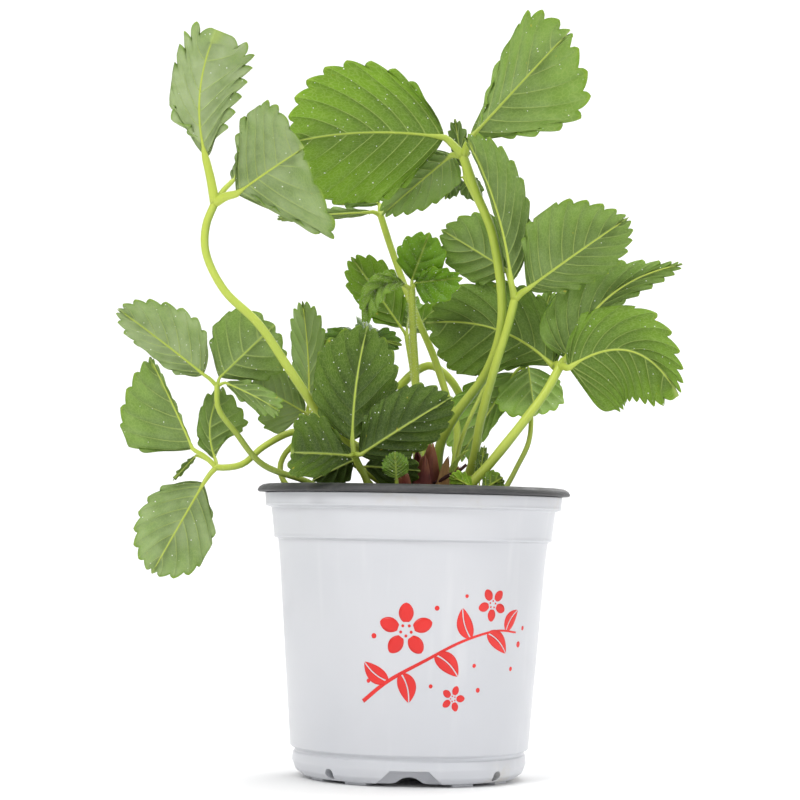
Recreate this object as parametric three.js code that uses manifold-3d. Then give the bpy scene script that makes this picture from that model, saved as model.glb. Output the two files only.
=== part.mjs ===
// A strawberry plant in a two-part nursery pot: a pale tapered pot with two collars and a notched foot,
// a dark liner whose rolled lip hangs on the pot, soil, and fifteen three-part leaves on long stalks, with
// a scaly crown, two new leaves and a runner among them. Millimetres, +Z up. The origin is the middle of
// the pot's underside, the viewer stands at -Y, and BACK is the side away from the viewer.
import * as THREE from 'three';
import { mergeVertices } from 'three/addons/utils/BufferGeometryUtils.js';
import Module from 'manifold-3d';

const wasm = await Module();
wasm.setup();

// ---------------------------------------------------------------- driving dimensions
const POT_HEIGHT = 148;
const RIM_RADIUS = 80;
const FOOT_RADIUS = 59.5;
const WALL = 1.5;
const WALL_TOP = 143.5;           // the pot's top edge, on which the liner's lip hangs
const COLLAR_FOOT = 109.2;        // the tapered wall ends and the lower collar begins
const FLOOR_UNDER = 8;            // the pot's floor stands this far above the ground
const FLOOR_TOP = FLOOR_UNDER + 2;
const GAP = 0.3;
const TURNS = 28;                 // flats round the pot
const ROUND_SIDES = 10;           // flats round a hole, a pad or the crown
const SOIL_LEVEL = 136;
const SOIL_LUMP = 1.6;
const HOLE_CLEARANCE = 0.35;      // round each stalk in the soil
const BLADE = 0.7;                // thickness of a leaf blade
const TOOTH_DEPTH = 2.4;
const MARGIN_WAVE = 0.7;
const WAVES = 13.8;               // how fast the margin waves along the midrib
const TOOTH_LEAN = 0.35;          // how far a tooth leans ahead, as a share of its height
const ENTIRE = 0.8;               // the margin has no teeth up to this place, 0 base .. PI tip
const STALK_SIDES = 6;
const SHORT_STALK = 0.7;          // a short stalk's radius, as a share of its long stalk's
const LARGE_LEAFLET = 60;         // and a leaflet shorter than this has a thinner one
const STALK_SIZES = [0.35, 1.1];  // the least and the most of that length that still count

const BACK = [0, 1, 0.25];        // where a leaflet's upper face looks: away from the viewer and up
const FRONT = [0, -1, 0];         // or towards the viewer
const EVEN = [0.12, 0.5];         // [how far the widest place moves to the tip, how slim the base is]
const POINTED = 0.35;             // and, where a third value is not given, how slim the tip is

// ---------------------------------------------------------------- materials
const material = (color, roughness) => new THREE.MeshStandardMaterial({ color, roughness, metalness: 0 });
const WHITE_PLASTIC = material(0xdcdfe3, 0.35);
const DARK_PLASTIC = material(0x5a5b5e, 0.45);
const SOIL = material(0x2c2119, 0.95);
const LEAF = material(0x5d9440, 0.6);
const YOUNG_LEAF = material(0x74b32c, 0.6);
const SCALE = material(0x7c3a2a, 0.8);

// ---------------------------------------------------------------- solids
function solid(geometry) {
  const bare = geometry.clone();
  bare.deleteAttribute('normal');
  bare.deleteAttribute('uv');
  const merged = mergeVertices(bare, 1e-4);
  const mesh = new wasm.Mesh({
    numProp: 3,
    vertProperties: new Float32Array(merged.attributes.position.array),
    triVerts: new Uint32Array(merged.index.array),
  });
  return new wasm.Manifold(mesh);
}

function geometryOf(body) {
  const mesh = body.getMesh();
  const geometry = new THREE.BufferGeometry();
  geometry.setAttribute('position', new THREE.BufferAttribute(new Float32Array(mesh.vertProperties), 3));
  geometry.setIndex(new THREE.BufferAttribute(new Uint32Array(mesh.triVerts), 1));
  return geometry;
}

const joined = (bodies) => bodies.reduce((whole, body) => whole.add(body));
const cutBy = (body, tools) => tools.reduce((left, tool) => left.subtract(tool), body);

function facesGeometry(points, faces) {
  const geometry = new THREE.BufferGeometry();
  geometry.setAttribute('position', new THREE.Float32BufferAttribute(points.flatMap((p) => p.toArray()), 3));
  geometry.setIndex(faces.flat());
  return geometry;
}

// A profile of [radius, height] pairs turned round the Z axis.
function turned(profile) {
  const points = profile.map(([radius, height]) => new THREE.Vector2(radius, height));
  const geometry = new THREE.LatheGeometry(points, TURNS);
  geometry.rotateX(Math.PI / 2);
  return geometry;
}

function upright([topRadius, footRadius], bottom, top, x, y) {
  const geometry = new THREE.CylinderGeometry(topRadius, footRadius, top - bottom, ROUND_SIDES);
  geometry.rotateX(Math.PI / 2);
  geometry.translate(x, y, (bottom + top) / 2);
  return geometry;
}

const around = (degrees, radius) => {
  const angle = THREE.MathUtils.degToRad(degrees);
  return [radius * Math.cos(angle), radius * Math.sin(angle)];
};

// ---------------------------------------------------------------- pot
const CENTRE_PAD = 11;
const PAD_HEIGHT = FLOOR_UNDER + 0.5;
const FOOT_PAD = { radius: 49.5, long: 12, deep: 7, turn: 30 };
const DRAIN = { radius: 4.5, out: 30, count: 4 };
const SIDE_NOTCH = { top: 19, bottom: 37, height: 8 };
const ROUND_NOTCH = { radius: 2.6, height: 5 };
const NOTCH_REACH = 10;           // how far a notch's tool goes in and out from the foot

function drainHoles() {
  const holes = [];
  for (let i = 0; i < DRAIN.count; i += 1) {
    const [x, y] = around(i * (360 / DRAIN.count), DRAIN.out);
    holes.push(solid(upright([DRAIN.radius, DRAIN.radius], 0, 2 * LINER_FLOOR, x, y)));
  }
  return holes;
}

// The foot has a wide slanted notch at each quarter and a small round one between each two.
function footNotches() {
  const tools = [];
  const shape = new THREE.Shape();
  shape.moveTo(-SIDE_NOTCH.bottom / 2, -1);
  shape.lineTo(SIDE_NOTCH.bottom / 2, -1);
  shape.lineTo(SIDE_NOTCH.top / 2, SIDE_NOTCH.height);
  shape.lineTo(-SIDE_NOTCH.top / 2, SIDE_NOTCH.height);
  for (let quarter = 0; quarter < 4; quarter += 1) {
    const wide = new THREE.ExtrudeGeometry(shape, { depth: 2 * NOTCH_REACH, bevelEnabled: false });
    wide.rotateX(Math.PI / 2);
    wide.translate(0, -FOOT_RADIUS + NOTCH_REACH, 0.4);
    wide.rotateZ(quarter * (Math.PI / 2));
    tools.push(solid(wide));
    const { radius, height } = ROUND_NOTCH;
    const round = new THREE.CylinderGeometry(radius, radius, NOTCH_REACH, ROUND_SIDES);
    round.translate(0, -FOOT_RADIUS, height);
    round.rotateZ((quarter + 0.53) * (Math.PI / 2));
    tools.push(solid(round));
  }
  return tools;
}

function footPads() {
  const pads = [solid(upright([CENTRE_PAD, CENTRE_PAD], 0, PAD_HEIGHT, 0, 0))];
  for (let quarter = 0; quarter < 4; quarter += 1) {
    for (const turn of [-FOOT_PAD.turn, FOOT_PAD.turn]) {
      const pad = new THREE.BoxGeometry(FOOT_PAD.deep, FOOT_PAD.long, PAD_HEIGHT);
      pad.translate(FOOT_PAD.radius, 0, PAD_HEIGHT / 2);
      pad.rotateZ(THREE.MathUtils.degToRad(quarter * 90 + turn));
      pads.push(solid(pad));
    }
  }
  return pads;
}

function potWall() {
  const outside = [
    [0, FLOOR_UNDER], [49, FLOOR_UNDER], [50, 1.5], [55, 1.5], [FOOT_RADIUS - 1, 4.5], [FOOT_RADIUS, 8.5],
    [FOOT_RADIUS - 0.4, 12.6], [58.2, 13.2], [58.4, 14.6], [60.6, 15.7], [67.7, COLLAR_FOOT], [68.9, 120],
    [70.8, 121.4], [72.6, 136], [75.4, 137.2], [76, WALL_TOP],
  ];
  const inside = [
    [76 - WALL, WALL_TOP], [73.6, 138.6], [71, 137], [69.2, 122.8], [67.2, 121], [67.7 - WALL, COLLAR_FOOT],
    [57.2, FLOOR_TOP], [0, FLOOR_TOP],
  ];
  const shell = solid(turned([...outside, ...inside]));
  return geometryOf(cutBy(joined([cutBy(shell, footNotches()), ...footPads()]), drainHoles()));
}

const LINER_FLOOR = FLOOR_TOP + GAP;
const LINER_THICK = 1.2;

function potLiner() {
  const outside = [
    [0, LINER_FLOOR], [56.6, LINER_FLOOR], [65.6, COLLAR_FOOT], [66.6, 121.5], [68.6, 123.4], [70.4, 137.5],
    [73, 139.1], [73.9, WALL_TOP + GAP], [RIM_RADIUS - 0.6, WALL_TOP + GAP], [RIM_RADIUS, 144.8],
  ];
  const inside = [
    [RIM_RADIUS - 1, 146.4], [77, POT_HEIGHT - 0.4], [74.4, POT_HEIGHT], [73, 147], [72.4, 143.6],
    [71.6, 140], [69.2, 138.4], [67.4, 124.2], [65.4, 122.3], [65.6 - LINER_THICK, COLLAR_FOOT],
    [55.4, LINER_FLOOR + LINER_THICK], [0, LINER_FLOOR + LINER_THICK],
  ];
  return geometryOf(cutBy(solid(turned([...outside, ...inside])), drainHoles()));
}

// ---------------------------------------------------------------- stalks
const vector = (p) => new THREE.Vector3(...p);

// A tapering stalk through a list of points; extra widens it all round and lengthens its foot.
function stalkGeometry(points, [footRadius, headRadius], extra = 0) {
  const sides = STALK_SIDES;
  const steps = points.length + 1;
  const curve = new THREE.CatmullRomCurve3(points.map(vector), false, 'centripetal');
  const { tangents, normals, binormals } = curve.computeFrenetFrames(steps, false);
  const rings = [];
  for (let i = 0; i <= steps; i += 1) {
    const middle = curve.getPointAt(i / steps);
    if (i === 0) middle.addScaledVector(tangents[0], -extra);
    const radius = footRadius + (headRadius - footRadius) * (i / steps) + extra;
    for (let k = 0; k < sides; k += 1) {
      const angle = (k / sides) * 2 * Math.PI;
      rings.push(middle.clone()
        .addScaledVector(normals[i], radius * Math.cos(angle))
        .addScaledVector(binormals[i], radius * Math.sin(angle)));
    }
  }
  const faces = [];
  const at = (ring, k) => ring * sides + (k % sides);
  for (let i = 0; i < steps; i += 1) {
    for (let k = 0; k < sides; k += 1) {
      faces.push([at(i, k), at(i, k + 1), at(i + 1, k + 1)], [at(i, k), at(i + 1, k + 1), at(i + 1, k)]);
    }
  }
  for (let k = 1; k < sides - 1; k += 1) {
    faces.push([0, k + 1, k], [at(steps, 0), at(steps, k), at(steps, k + 1)]);
  }
  return facesGeometry(rings, faces);
}

// ---------------------------------------------------------------- leaflets
// The margin before its teeth: place 0 is the base and PI the tip. It gives how far along the midrib and
// how far out, each from 0 to 1.
function margin(place, [forward, slim, pointed = POINTED]) {
  const toBase = 0.5 + 0.5 * Math.cos(place);
  const spread = Math.max(0, Math.sin(place)) ** (1 + slim * toBase + pointed * (1 - toBase));
  return [1 - toBase, spread * (1 - forward * Math.cos(place))];
}

function widest(shape) {
  let most = 0;
  for (let place = 0; place < Math.PI; place += 0.02) {
    most = Math.max(most, margin(place, shape)[1]);
  }
  return most;
}

// A leaflet is a sheet bent along its midrib. at(x, across) gives the place x of the way along the midrib
// and across mm out from it, with the direction of the upper face there.
class Leaflet {
  constructor(base, tip, half, fold, options) {
    const { up = BACK, shapes = [EVEN, EVEN], arch = 0.04, side = 0, curl = 0.2, opened = [0, 0] } = options;
    this.base = vector(base);
    this.along = vector(tip).sub(this.base);
    this.length = this.along.length();
    this.along.normalize();
    this.up = vector(up);
    this.up.addScaledVector(this.along, -this.up.dot(this.along)).normalize();
    this.out = this.along.clone().cross(this.up);
    this.half = half;
    this.fold = fold.map(THREE.MathUtils.degToRad);
    this.opened = opened.map(THREE.MathUtils.degToRad);   // how much more it is folded at the tip
    this.shapes = shapes;
    this.arch = arch * this.length;
    this.side = side * this.length;
    this.curl = curl;
  }

  rib(x) {
    const bow = 4 * x * (1 - x);
    return this.base.clone()
      .addScaledVector(this.along, x * this.length)
      .addScaledVector(this.up, this.arch * bow)
      .addScaledVector(this.out, this.side * bow);
  }

  at(x, across) {
    const part = across >= 0 ? 0 : 1;
    const sign = across >= 0 ? 1 : -1;
    const along = this.rib(x + 0.01).sub(this.rib(x - 0.01)).normalize();
    const up = this.up.clone().addScaledVector(along, -this.up.dot(along)).normalize();
    const out = along.clone().cross(up).multiplyScalar(sign);
    const reach = Math.abs(across);
    const bend = this.curl / this.half[part];
    const start = this.fold[part] + this.opened[part] * x ** 2;
    const end = start + bend * reach;
    const ripple = MARGIN_WAVE * (reach / this.half[part]) ** 2 * Math.sin(WAVES * x + 1.7 * part);
    const point = this.rib(x)
      .addScaledVector(out, (Math.sin(end) - Math.sin(start)) / bend)
      .addScaledVector(up, (Math.cos(start) - Math.cos(end)) / bend + ripple);
    const face = up.clone().multiplyScalar(Math.cos(end)).addScaledVector(out, -Math.sin(end));
    return [point, face];
  }

  // The margin at a place, in [x, mm out], or the tip of a tooth that stands proud of it and leans ahead.
  edge(place, part, proud) {
    const shape = this.shapes[part];
    const full = this.half[part] / widest(shape);
    const [x, out] = margin(place, shape);
    const [nextX, nextOut] = margin(Math.min(place + 0.01, Math.PI), shape);
    const step = new THREE.Vector2((nextX - x) * this.length, (nextOut - out) * full).normalize();
    const ahead = TOOTH_LEAN * proud;
    const moved = x + (ahead * step.x - proud * step.y) / this.length;
    return [moved, out * full + ahead * step.y + proud * step.x];
  }

  // At the midrib the two halves meet, so the sheet's thickness is measured on their mitre.
  ribAt(x) {
    const [point, first] = this.at(x, 1e-6);
    const second = this.at(x, -1e-6)[1];
    const mitre = first.clone().add(second).normalize();
    return [point, mitre.divideScalar(Math.max(LEAST_MITRE, mitre.dot(first)))];
  }
}

// Where the side vein that ends at this place of the margin leaves the midrib.
const ribPlace = (place) => 0.97 * (0.5 - 0.5 * Math.cos(place)) ** 2.1;

const ROW_TIP = 0.4;                        // a tooth's tip lies this part of a row before its notch
const NODE_SPREAD = 1.3;                    // the short stalk is thicker at the node
const LEAST_TEETH = 7;                      // a blade with fewer has no points between midrib and margin
const LEAST_MITRE = 0.35;
const LEAST_OUT = 0.05;
const MIDDLE = 0.55;                        // those points stand this far out to the margin
const FIRST_POINT = 0.55;                   // the toothless edge is split this far along it

const blade = (base, tip, half, fold, options = {}) => ({ base, tip, half, fold, options });

// One leaflet as a closed body, from its own short stalk at the node to its tip. Both faces of the blade
// are split alike, and its edge has a tooth for each row.
function leaflet({ base, tip, half, fold, options }, node, headRadius) {
  const { teeth = LEAST_TEETH, tooth = TOOTH_DEPTH, entire = ENTIRE } = options;
  const sheet = new Leaflet(base, tip, half, fold, options);
  const flat = teeth < LEAST_TEETH;
  const places = [];
  const faces = [];
  const rims = [];
  const add = (place) => places.push(place) - 1;
  const baseEnd = add(sheet.ribAt(0));
  const tipEnd = add(sheet.ribAt(1));
  const rowPlace = (row) => entire + ((Math.PI - entire) * (row - 1)) / (teeth - 0.5);
  const ribs = [baseEnd];
  for (let row = 1; row < teeth; row += 1) ribs.push(add(sheet.ribAt(ribPlace(rowPlace(row)))));

  for (const part of [0, 1]) {
    const put = ([x, out]) => add(sheet.at(x, (part === 0 ? 1 : -1) * Math.max(out, LEAST_OUT)));
    const face = (a, b, c) => faces.push(part === 0 ? [a, b, c] : [a, c, b]);
    const toothTip = (row) => sheet.edge(rowPlace(row - ROW_TIP), part, tooth);
    const rim = [baseEnd];
    let middle = baseEnd;
    let notch = baseEnd;
    for (let row = 1; row < teeth; row += 1) {
      const edge = sheet.edge(rowPlace(row), part, 0);
      const ribX = ribPlace(rowPlace(row));
      const nextMiddle = flat ? ribs[row] : put([ribX + (edge[0] - ribX) * MIDDLE, edge[1] * MIDDLE]);
      const nextNotch = put(edge);
      const point = put(row === 1 ? sheet.edge(entire * FIRST_POINT, part, 0) : toothTip(row));
      if (row > 1) face(middle, notch, point);
      if (row > 1 && !flat) face(ribs[row - 1], middle, ribs[row]);
      if (!flat) face(ribs[row], middle, nextMiddle);
      face(middle, point, nextMiddle);
      face(point, nextNotch, nextMiddle);
      rim.push(point, nextNotch);
      middle = nextMiddle;
      notch = nextNotch;
    }
    if (!flat) face(ribs[teeth - 1], middle, tipEnd);
    face(middle, notch, tipEnd);
    rim.push(tipEnd);
    rims.push(part === 0 ? rim : rim.reverse());
  }
  const size = THREE.MathUtils.clamp(sheet.length / LARGE_LEAFLET, ...STALK_SIZES);
  const short = SHORT_STALK * headRadius * Math.sqrt(size);
  return facesGeometry(...withShortStalk(sheet, vector(node), short, ...thickened(places, faces, rims)));
}

// Both faces of a blade, half its thickness to each side of the sheet, and the edge round it, which is
// left open beside the base.
function thickened(places, faces, rims) {
  const count = places.length;
  const corners = [];
  for (const side of [BLADE / 2, -BLADE / 2]) {
    for (const [point, face] of places) corners.push(point.clone().addScaledVector(face, side));
  }
  const all = [];
  for (const [a, b, c] of faces) all.push([a, b, c], [a + count, c + count, b + count]);
  for (const rim of rims) {
    for (let i = 0; i + 1 < rim.length; i += 1) {
      const [from, to] = [rim[i], rim[i + 1]];
      if (from === 0 || to === 0) continue;
      all.push([to, from, from + count], [to, from + count, to + count]);
    }
  }
  return [corners, all, rims[0][1], rims[1][rims[1].length - 2], count];
}

// The four-sided short stalk runs from the node to a ring round the blade's base: over, beside, under,
// beside. Its two side corners close the blade's open edge.
function withShortStalk(sheet, node, short, corners, faces, first, second, count) {
  const [over, under] = [0, count];
  const start = sheet.base;
  corners[over] = start.clone().addScaledVector(sheet.up, short);
  corners[under] = start.clone().addScaledVector(sheet.up, -short);
  const beside = corners.push(start.clone().addScaledVector(sheet.out, short)) - 1;
  const other = corners.push(start.clone().addScaledVector(sheet.out, -short)) - 1;
  faces.push([over, beside, first], [beside, first + count, first], [beside, under, first + count]);
  faces.push([other, over, second], [other, second, second + count], [under, other, second + count]);
  const ring = [over, beside, under, other];
  const atNode = (corner) => corners[corner].clone().sub(start).multiplyScalar(NODE_SPREAD).add(node);
  const far = ring.map((corner) => corners.push(atNode(corner)) - 1);
  for (let k = 0; k < 4; k += 1) {
    const next = (k + 1) % 4;
    faces.push([ring[k], far[k], far[next]], [ring[k], far[next], ring[next]]);
  }
  faces.push([far[0], far[3], far[2]], [far[0], far[2], far[1]]);
  return [corners, faces];
}

// A leaf is one body: its long stalk, and leaflets that each hang on a short stalk of their own.
function leaf(stalk, thick, blades) {
  const node = stalk[stalk.length - 1];
  const bodies = [stalkGeometry(stalk, thick), ...blades.map((one) => leaflet(one, node, thick[1]))];
  return { stalk, thick, geometry: () => geometryOf(joined(bodies.map(solid))) };
}

// ---------------------------------------------------------------- the fifteen leaves
// Each blade: where it starts, where it ends, the widths of its two halves and how far each is folded up,
// in mm and degrees. The first half lies on the side of (base to tip) x (upper face).
const leaves = {
  leaf_top_left: leaf(
    [[10, -6, 126], [6, -8, 146], [-18, -22, 160], [-43, -38, 177], [-61, -50, 201], [-78, -60, 225],
      [-95, -66, 241], [-104, -69, 259], [-104, -70, 272], [-100, -70, 283]],
    [2.5, 1.9],
    [
      blade([-105, -71, 305], [-102, -84, 360], [15, 20], [6, 20],
        { shapes: [[0.8, 9, -0.4], [0.6, -0.3, -0.7]], side: 0.084 }),
      blade([-92, -62, 295], [-87, -50, 311], [3, 4], [11, 11], { teeth: 4, tooth: 1.2 }),
      blade([-89, -76, 287], [-57, -112, 303.5], [28.5, 41], [5, -8],
        { shapes: [[0.5, 1.5, -0.4], [0.9, 1, 2]], arch: 0.08 }),
    ],
  ),
  leaf_top_centre: leaf(
    [[12, 6, 126], [12, 4, 144], [13, 2, 169], [20, -3, 184], [35, -8, 205], [42, -12, 224],
      [43, -14, 242], [37, -15, 278], [29, -14, 297], [22, -13, 316]],
    [2.7, 2.4],
    [
      blade([12, -13, 326], [-64, -34, 319], [38, 34.5], [9, 9], { side: -0.04, arch: 0.06, teeth: 8 }),
      blade([16, -6, 318], [-18, 22, 291], [15.5, 14.5], [11, 17], { shapes: [[-0.4, 0.1], [0.1, 0.5]] }),
      blade([25, -16, 325], [71.5, -36, 375], [28, 31.5], [62, 3],
        { shapes: [[0.95, 2, 0.1], [0.7, 0.3, 1.3]], opened: [-40, 0] }),
    ],
  ),
  leaf_right_upper: leaf(
    [[24, 2, 126], [25, 0, 144], [30, -6, 162], [33, -11, 181], [39, -16, 206], [46, -19, 230],
      [49, -20, 243]],
    [2.5, 2.1],
    [
      blade([47, -24, 251], [23, -44, 320], [3.5, 24], [60, 43], { side: -0.05 }),
      blade([55, -24, 248], [102, -44, 281.5], [27, 19], [6, 20], { shapes: [[-0.1, 1, 0.6], [0.1, 0.4]] }),
      blade([45, -10, 259], [13, -2, 279], [17, 19], [18, 11], { shapes: [[0.05, 0.2], [0.05, 0.3]] }),
    ],
  ),
  leaf_right_lower: leaf(
    [[20, -26, 126], [24, -26, 143], [38, -27, 160], [55, -28, 182], [65, -28, 196], [72, -27, 209]],
    [2.7, 2.2],
    [
      blade([76, -19, 214], [132, -11, 263], [17.5, 8], [11, 25],
        { shapes: [[-0.8, -0.2], [0.5, 0.5]], side: 0.13, opened: [40, 0] }),
      blade([76, -33, 208], [126.5, -56, 197.5], [22.5, 30], [11, 6],
        { shapes: [[-0.45, 0.3], [-0.3, -0.8, -0.6]], side: 0.24, arch: 0.08 }),
      blade([70, -11, 210], [7, 11, 233], [28, 24], [6, 6],
        { shapes: [[0.75, 0.5, 0], [-0.05, 0.1]], side: -0.11 }),
    ],
  ),
  leaf_right_back: leaf(
    [[41, 18, 126], [45, 20, 142], [53, 24, 158], [60, 27, 174], [60, 30, 194], [56, 32, 206],
      [57, 33, 213]],
    [1.5, 1.2],
    [
      blade([52, 32, 209], [24, 28, 164], [9, 18], [30, 11], { teeth: 6 }),
      blade([59, 30, 212], [62, 12, 187], [17, 19], [11, 11],
        { shapes: [[-0.05, 0.3], [-0.05, 0.3]], teeth: 6 }),
      blade([60, 36, 216], [71, 46, 253], [9.5, 9.5], [23, 23], { teeth: 6 }),
    ],
  ),
  leaf_left_upper: leaf(
    [[-28, -24, 126], [-36, -28, 138], [-52, -34, 148], [-76, -38, 157], [-89, -40, 172], [-98, -41, 184],
      [-99, -41, 195]],
    [1.7, 1.4],
    [
      blade([-106, -42, 201], [-147, -46, 231], [13, 18], [28, 9],
        { shapes: [[0.05, 0.2], [-0.15, 0.3, 0.1]] }),
      blade([-98, -39, 199.5], [-72.5, -38, 225], [21, 18.5], [6, 6],
        { shapes: [[0.3, 0.5, 0], [0.5, 1.1]] }),
      blade([-95, -40, 197], [-68, -56, 183], [7.5, 7], [40, 25], { arch: 0.1, teeth: 6 }),
    ],
  ),
  leaf_left_lower: leaf(
    [[-6, 4, 126], [-8, 2, 141], [-32, -8, 160], [-49, -16, 173], [-61, -20, 174], [-76, -26, 166],
      [-86, -30, 157], [-94, -32, 155], [-99, -33, 155]],
    [2, 1.6],
    [
      blade([-111, -33, 164], [-133, -30, 208], [31, 1.5], [6, 60], { shapes: [[-0.2, 1.5], [-0.25, 0]] }),
      blade([-105, -35, 147], [-128, -44, 103.5], [20, 20.5], [9, 17], { shapes: [[0.35, 1.6], [0, 0.3]] }),
      blade([-100, -26, 159], [-98.5, -20, 194], [7, 18], [15, 12],
        { shapes: [[0.2, 0.6], [0.95, 5]], side: 0.12 }),
      blade([-110, -24, 161], [-121, -20, 149], [2.4, 2], [45, 45], { teeth: 4, tooth: 1 }),
    ],
  ),
  leaf_front: leaf(
    [[-17, -39, 126], [-21, -42, 140], [-24, -46, 150], [-28, -50, 158], [-30, -53, 162]],
    [1.9, 1.6],
    [
      blade([-31, -55, 169], [-25, -60, 223], [22, 21], [11, 20],
        { shapes: [[0.1, 0.5], [0.1, 0.5]], side: 0.03 }),
      blade([-27, -56, 162], [16, -60, 190], [17, 16.6], [11, 17], { shapes: [[0.1, 0.3], [0.1, 0.3]] }),
      blade([-32, -57, 161.5], [-58.5, -82, 161.5], [14.5, 18], [11, 11],
        { shapes: [[0.2, 0.5, 0], [0.5, 1.5, -0.5]] }),
    ],
  ),
  leaf_left_back: leaf(
    [[-52, 2, 126], [-56, 3, 140], [-66, 4, 148], [-69, 6, 156], [-67, 7, 163], [-62, 8, 169],
      [-58, 9, 176], [-56, 9, 184]],
    [1.6, 1.4],
    [
      blade([-55, 9, 190], [-59, 2, 240], [12, 12], [38, 38],
        { shapes: [[0.25, 0.6], [0.25, 0.6]], side: -0.02 }),
      blade([-57, 4, 185], [-82, -20, 197.5], [20, 12], [11, 11],
        { shapes: [[-0.9, -0.7, 0.1], [0.3, 0, -0.3]] }),
      blade([-51, 14, 188], [-33, 30, 203], [11, 11], [11, 11], { teeth: 6 }),
    ],
  ),
  leaf_back_low: leaf(
    [[-8, 20, 126], [-7, 22, 141], [-16, 34, 173], [-24, 46, 205], [-28, 50, 221]],
    [1.6, 1.3],
    [
      blade([-31, 47, 226], [-50, 26, 223], [7, 6], [-17, -17], { up: FRONT, arch: 0.16, teeth: 6 }),
      blade([-24, 49, 227], [-9, 33, 223], [6, 6], [-17, -17], { up: FRONT, arch: 0.14, teeth: 6 }),
      blade([-27, 54, 225], [-22, 86, 234], [11, 11], [11, 11], { up: FRONT, teeth: 6 }),
    ],
  ),
  leaf_young: leaf(
    [[1, 12, 126], [2, 10, 143], [1, 11, 172], [0, 11, 201], [-2, 10, 229], [-3, 8, 249]],
    [2.3, 1.9],
    [
      blade([-3, 8, 255], [5, -1, 277], [13, 11.5], [6, 6],
        { up: FRONT, shapes: [[0.15, 0.3], [0.15, 0.3]] }),
      blade([-1, 5, 253], [21, -12, 254], [12, 6], [6, 23], { up: FRONT, arch: 0.06 }),
      blade([-7, 5, 252], [-27, -12, 231], [9, 8], [42, 42], { up: FRONT, side: 0.22 }),
    ],
  ),
  leaf_behind_young: leaf(
    [[9, 24, 126], [8, 22, 142], [3, 30, 178], [-2, 34, 210], [-5, 36, 227]],
    [1.6, 1.3],
    [
      blade([-8, 36, 232], [-34, 32, 267], [12.5, 13], [11, 11], { shapes: [[0.15, 0.6], [0.15, 0.6]] }),
      blade([-2, 38, 230], [12, 44, 245], [6.4, 6.4], [17, 17], { teeth: 5 }),
      blade([-5, 42, 233], [-2, 66, 252], [9, 9], [11, 11], { teeth: 6 }),
    ],
  ),
  leaf_back_tall: leaf(
    [[19, 18, 126], [19, 16, 144], [22, 20, 178], [16, 23, 197], [9, 26, 217], [1, 28, 235],
      [-8, 31, 257], [-15, 34, 276], [-20, 36, 291]],
    [2, 1.8],
    [
      blade([-24, 35, 293], [-72, 20, 287], [8, 5], [60, 60], { teeth: 7 }),
      blade([-21, 42, 298], [-49, 76, 323], [16, 16], [11, 11], { up: FRONT, teeth: 6 }),
      blade([-17, 44, 297], [3, 82, 321], [16, 16], [11, 11], { up: FRONT, teeth: 6 }),
    ],
  ),
  leaf_back_small: leaf(
    [[22, 10, 126], [20, 8.5, 143], [24, 8, 172], [38, 12, 206], [44, 12, 227], [44, 9, 244],
      [38, 4, 279], [28, 2, 298], [23, 4, 308]],
    [1.2, 1],
    [
      blade([22, 6, 314], [18, 12, 338], [4.8, 4.8], [12, 12],
        { shapes: [[0.1, 0.2], [0.1, 0.2]], teeth: 5, tooth: 1.6 }),
      blade([24, 6, 307], [31, 16, 298], [6, 6], [17, 17], { teeth: 5, tooth: 1.6 }),
      blade([20, 8, 308], [14, 26, 300], [5, 5], [17, 17], { teeth: 5, tooth: 1.6 }),
    ],
  ),
  leaf_front_low: leaf(
    [[-15, -16, 126], [-18, -18, 139], [-21, -21, 147], [-25, -24, 152], [-28, -26, 156]],
    [1.5, 1.3],
    [
      blade([-31, -24, 160], [-50, -24, 150], [10, 9], [11, 11], { teeth: 6, tooth: 1.8 }),
      blade([-25, -27, 157], [1, -38, 155], [9, 10], [11, 11], { teeth: 6, tooth: 1.8 }),
      blade([-30, -23, 158], [-38, -17, 170], [4.5, 4.5], [17, 17], { teeth: 5, tooth: 1.4 }),
    ],
  ),
};

// ---------------------------------------------------------------- small growth at the crown
const youngGrowth = {
  seedling_leaf: leaf(
    [[-8, -54, 126], [-8, -58, 140], [-9, -61, 150]],
    [1.1, 0.9],
    [
      blade([-9, -62, 151], [-10, -64, 163], [6.4, 6.4], [8, 8],
        { up: FRONT, shapes: [[0, 0], [0, 0]], teeth: 6, tooth: 1 }),
    ],
  ),
  new_leaf_right: leaf(
    [[30, -38, 126], [31, -40, 139], [32, -41, 142]],
    [1.2, 1],
    [
      blade([29, -43, 147], [18, -47, 152.5], [4.2, 4.6], [20, 20], { teeth: 4, tooth: 1.2 }),
      blade([34, -43, 146], [43, -46, 152], [6.5, 5], [20, 20],
        { shapes: [[0.3, 0], [0.3, 0]], teeth: 4, tooth: 1.2 }),
      blade([33, -18, 152], [35, -16, 168], [3.4, 3.4], [30, 30], { teeth: 4, tooth: 1.2 }),
    ],
  ),
  runner: leaf(
    [[34, 42, 126], [32, 43, 150], [28, 44, 180], [25, 44, 194], [19, 45, 205], [8, 47, 213],
      [-1, 48, 209], [-8, 49, 202]],
    [2, 2.3],
    [blade([-9, 49, 201], [-20, 50, 198], [3.4, 3.4], [50, 50], { teeth: 4, tooth: 1 })],
  ),
};

// The crown is a short stump of old leaf bases with pointed papery scales round it.
const CROWN = { x: 12, y: -15, foot: 128, top: 152, radius: 5.5, neck: 3.9 };
const CROWN_SCALE = { root: 134, stem: 2, foot: 141, half: 3.4, fold: 25, lean: 8 };
const CROWN_SCALE_TIPS = [170, 160, 167, 158, 165];

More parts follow.
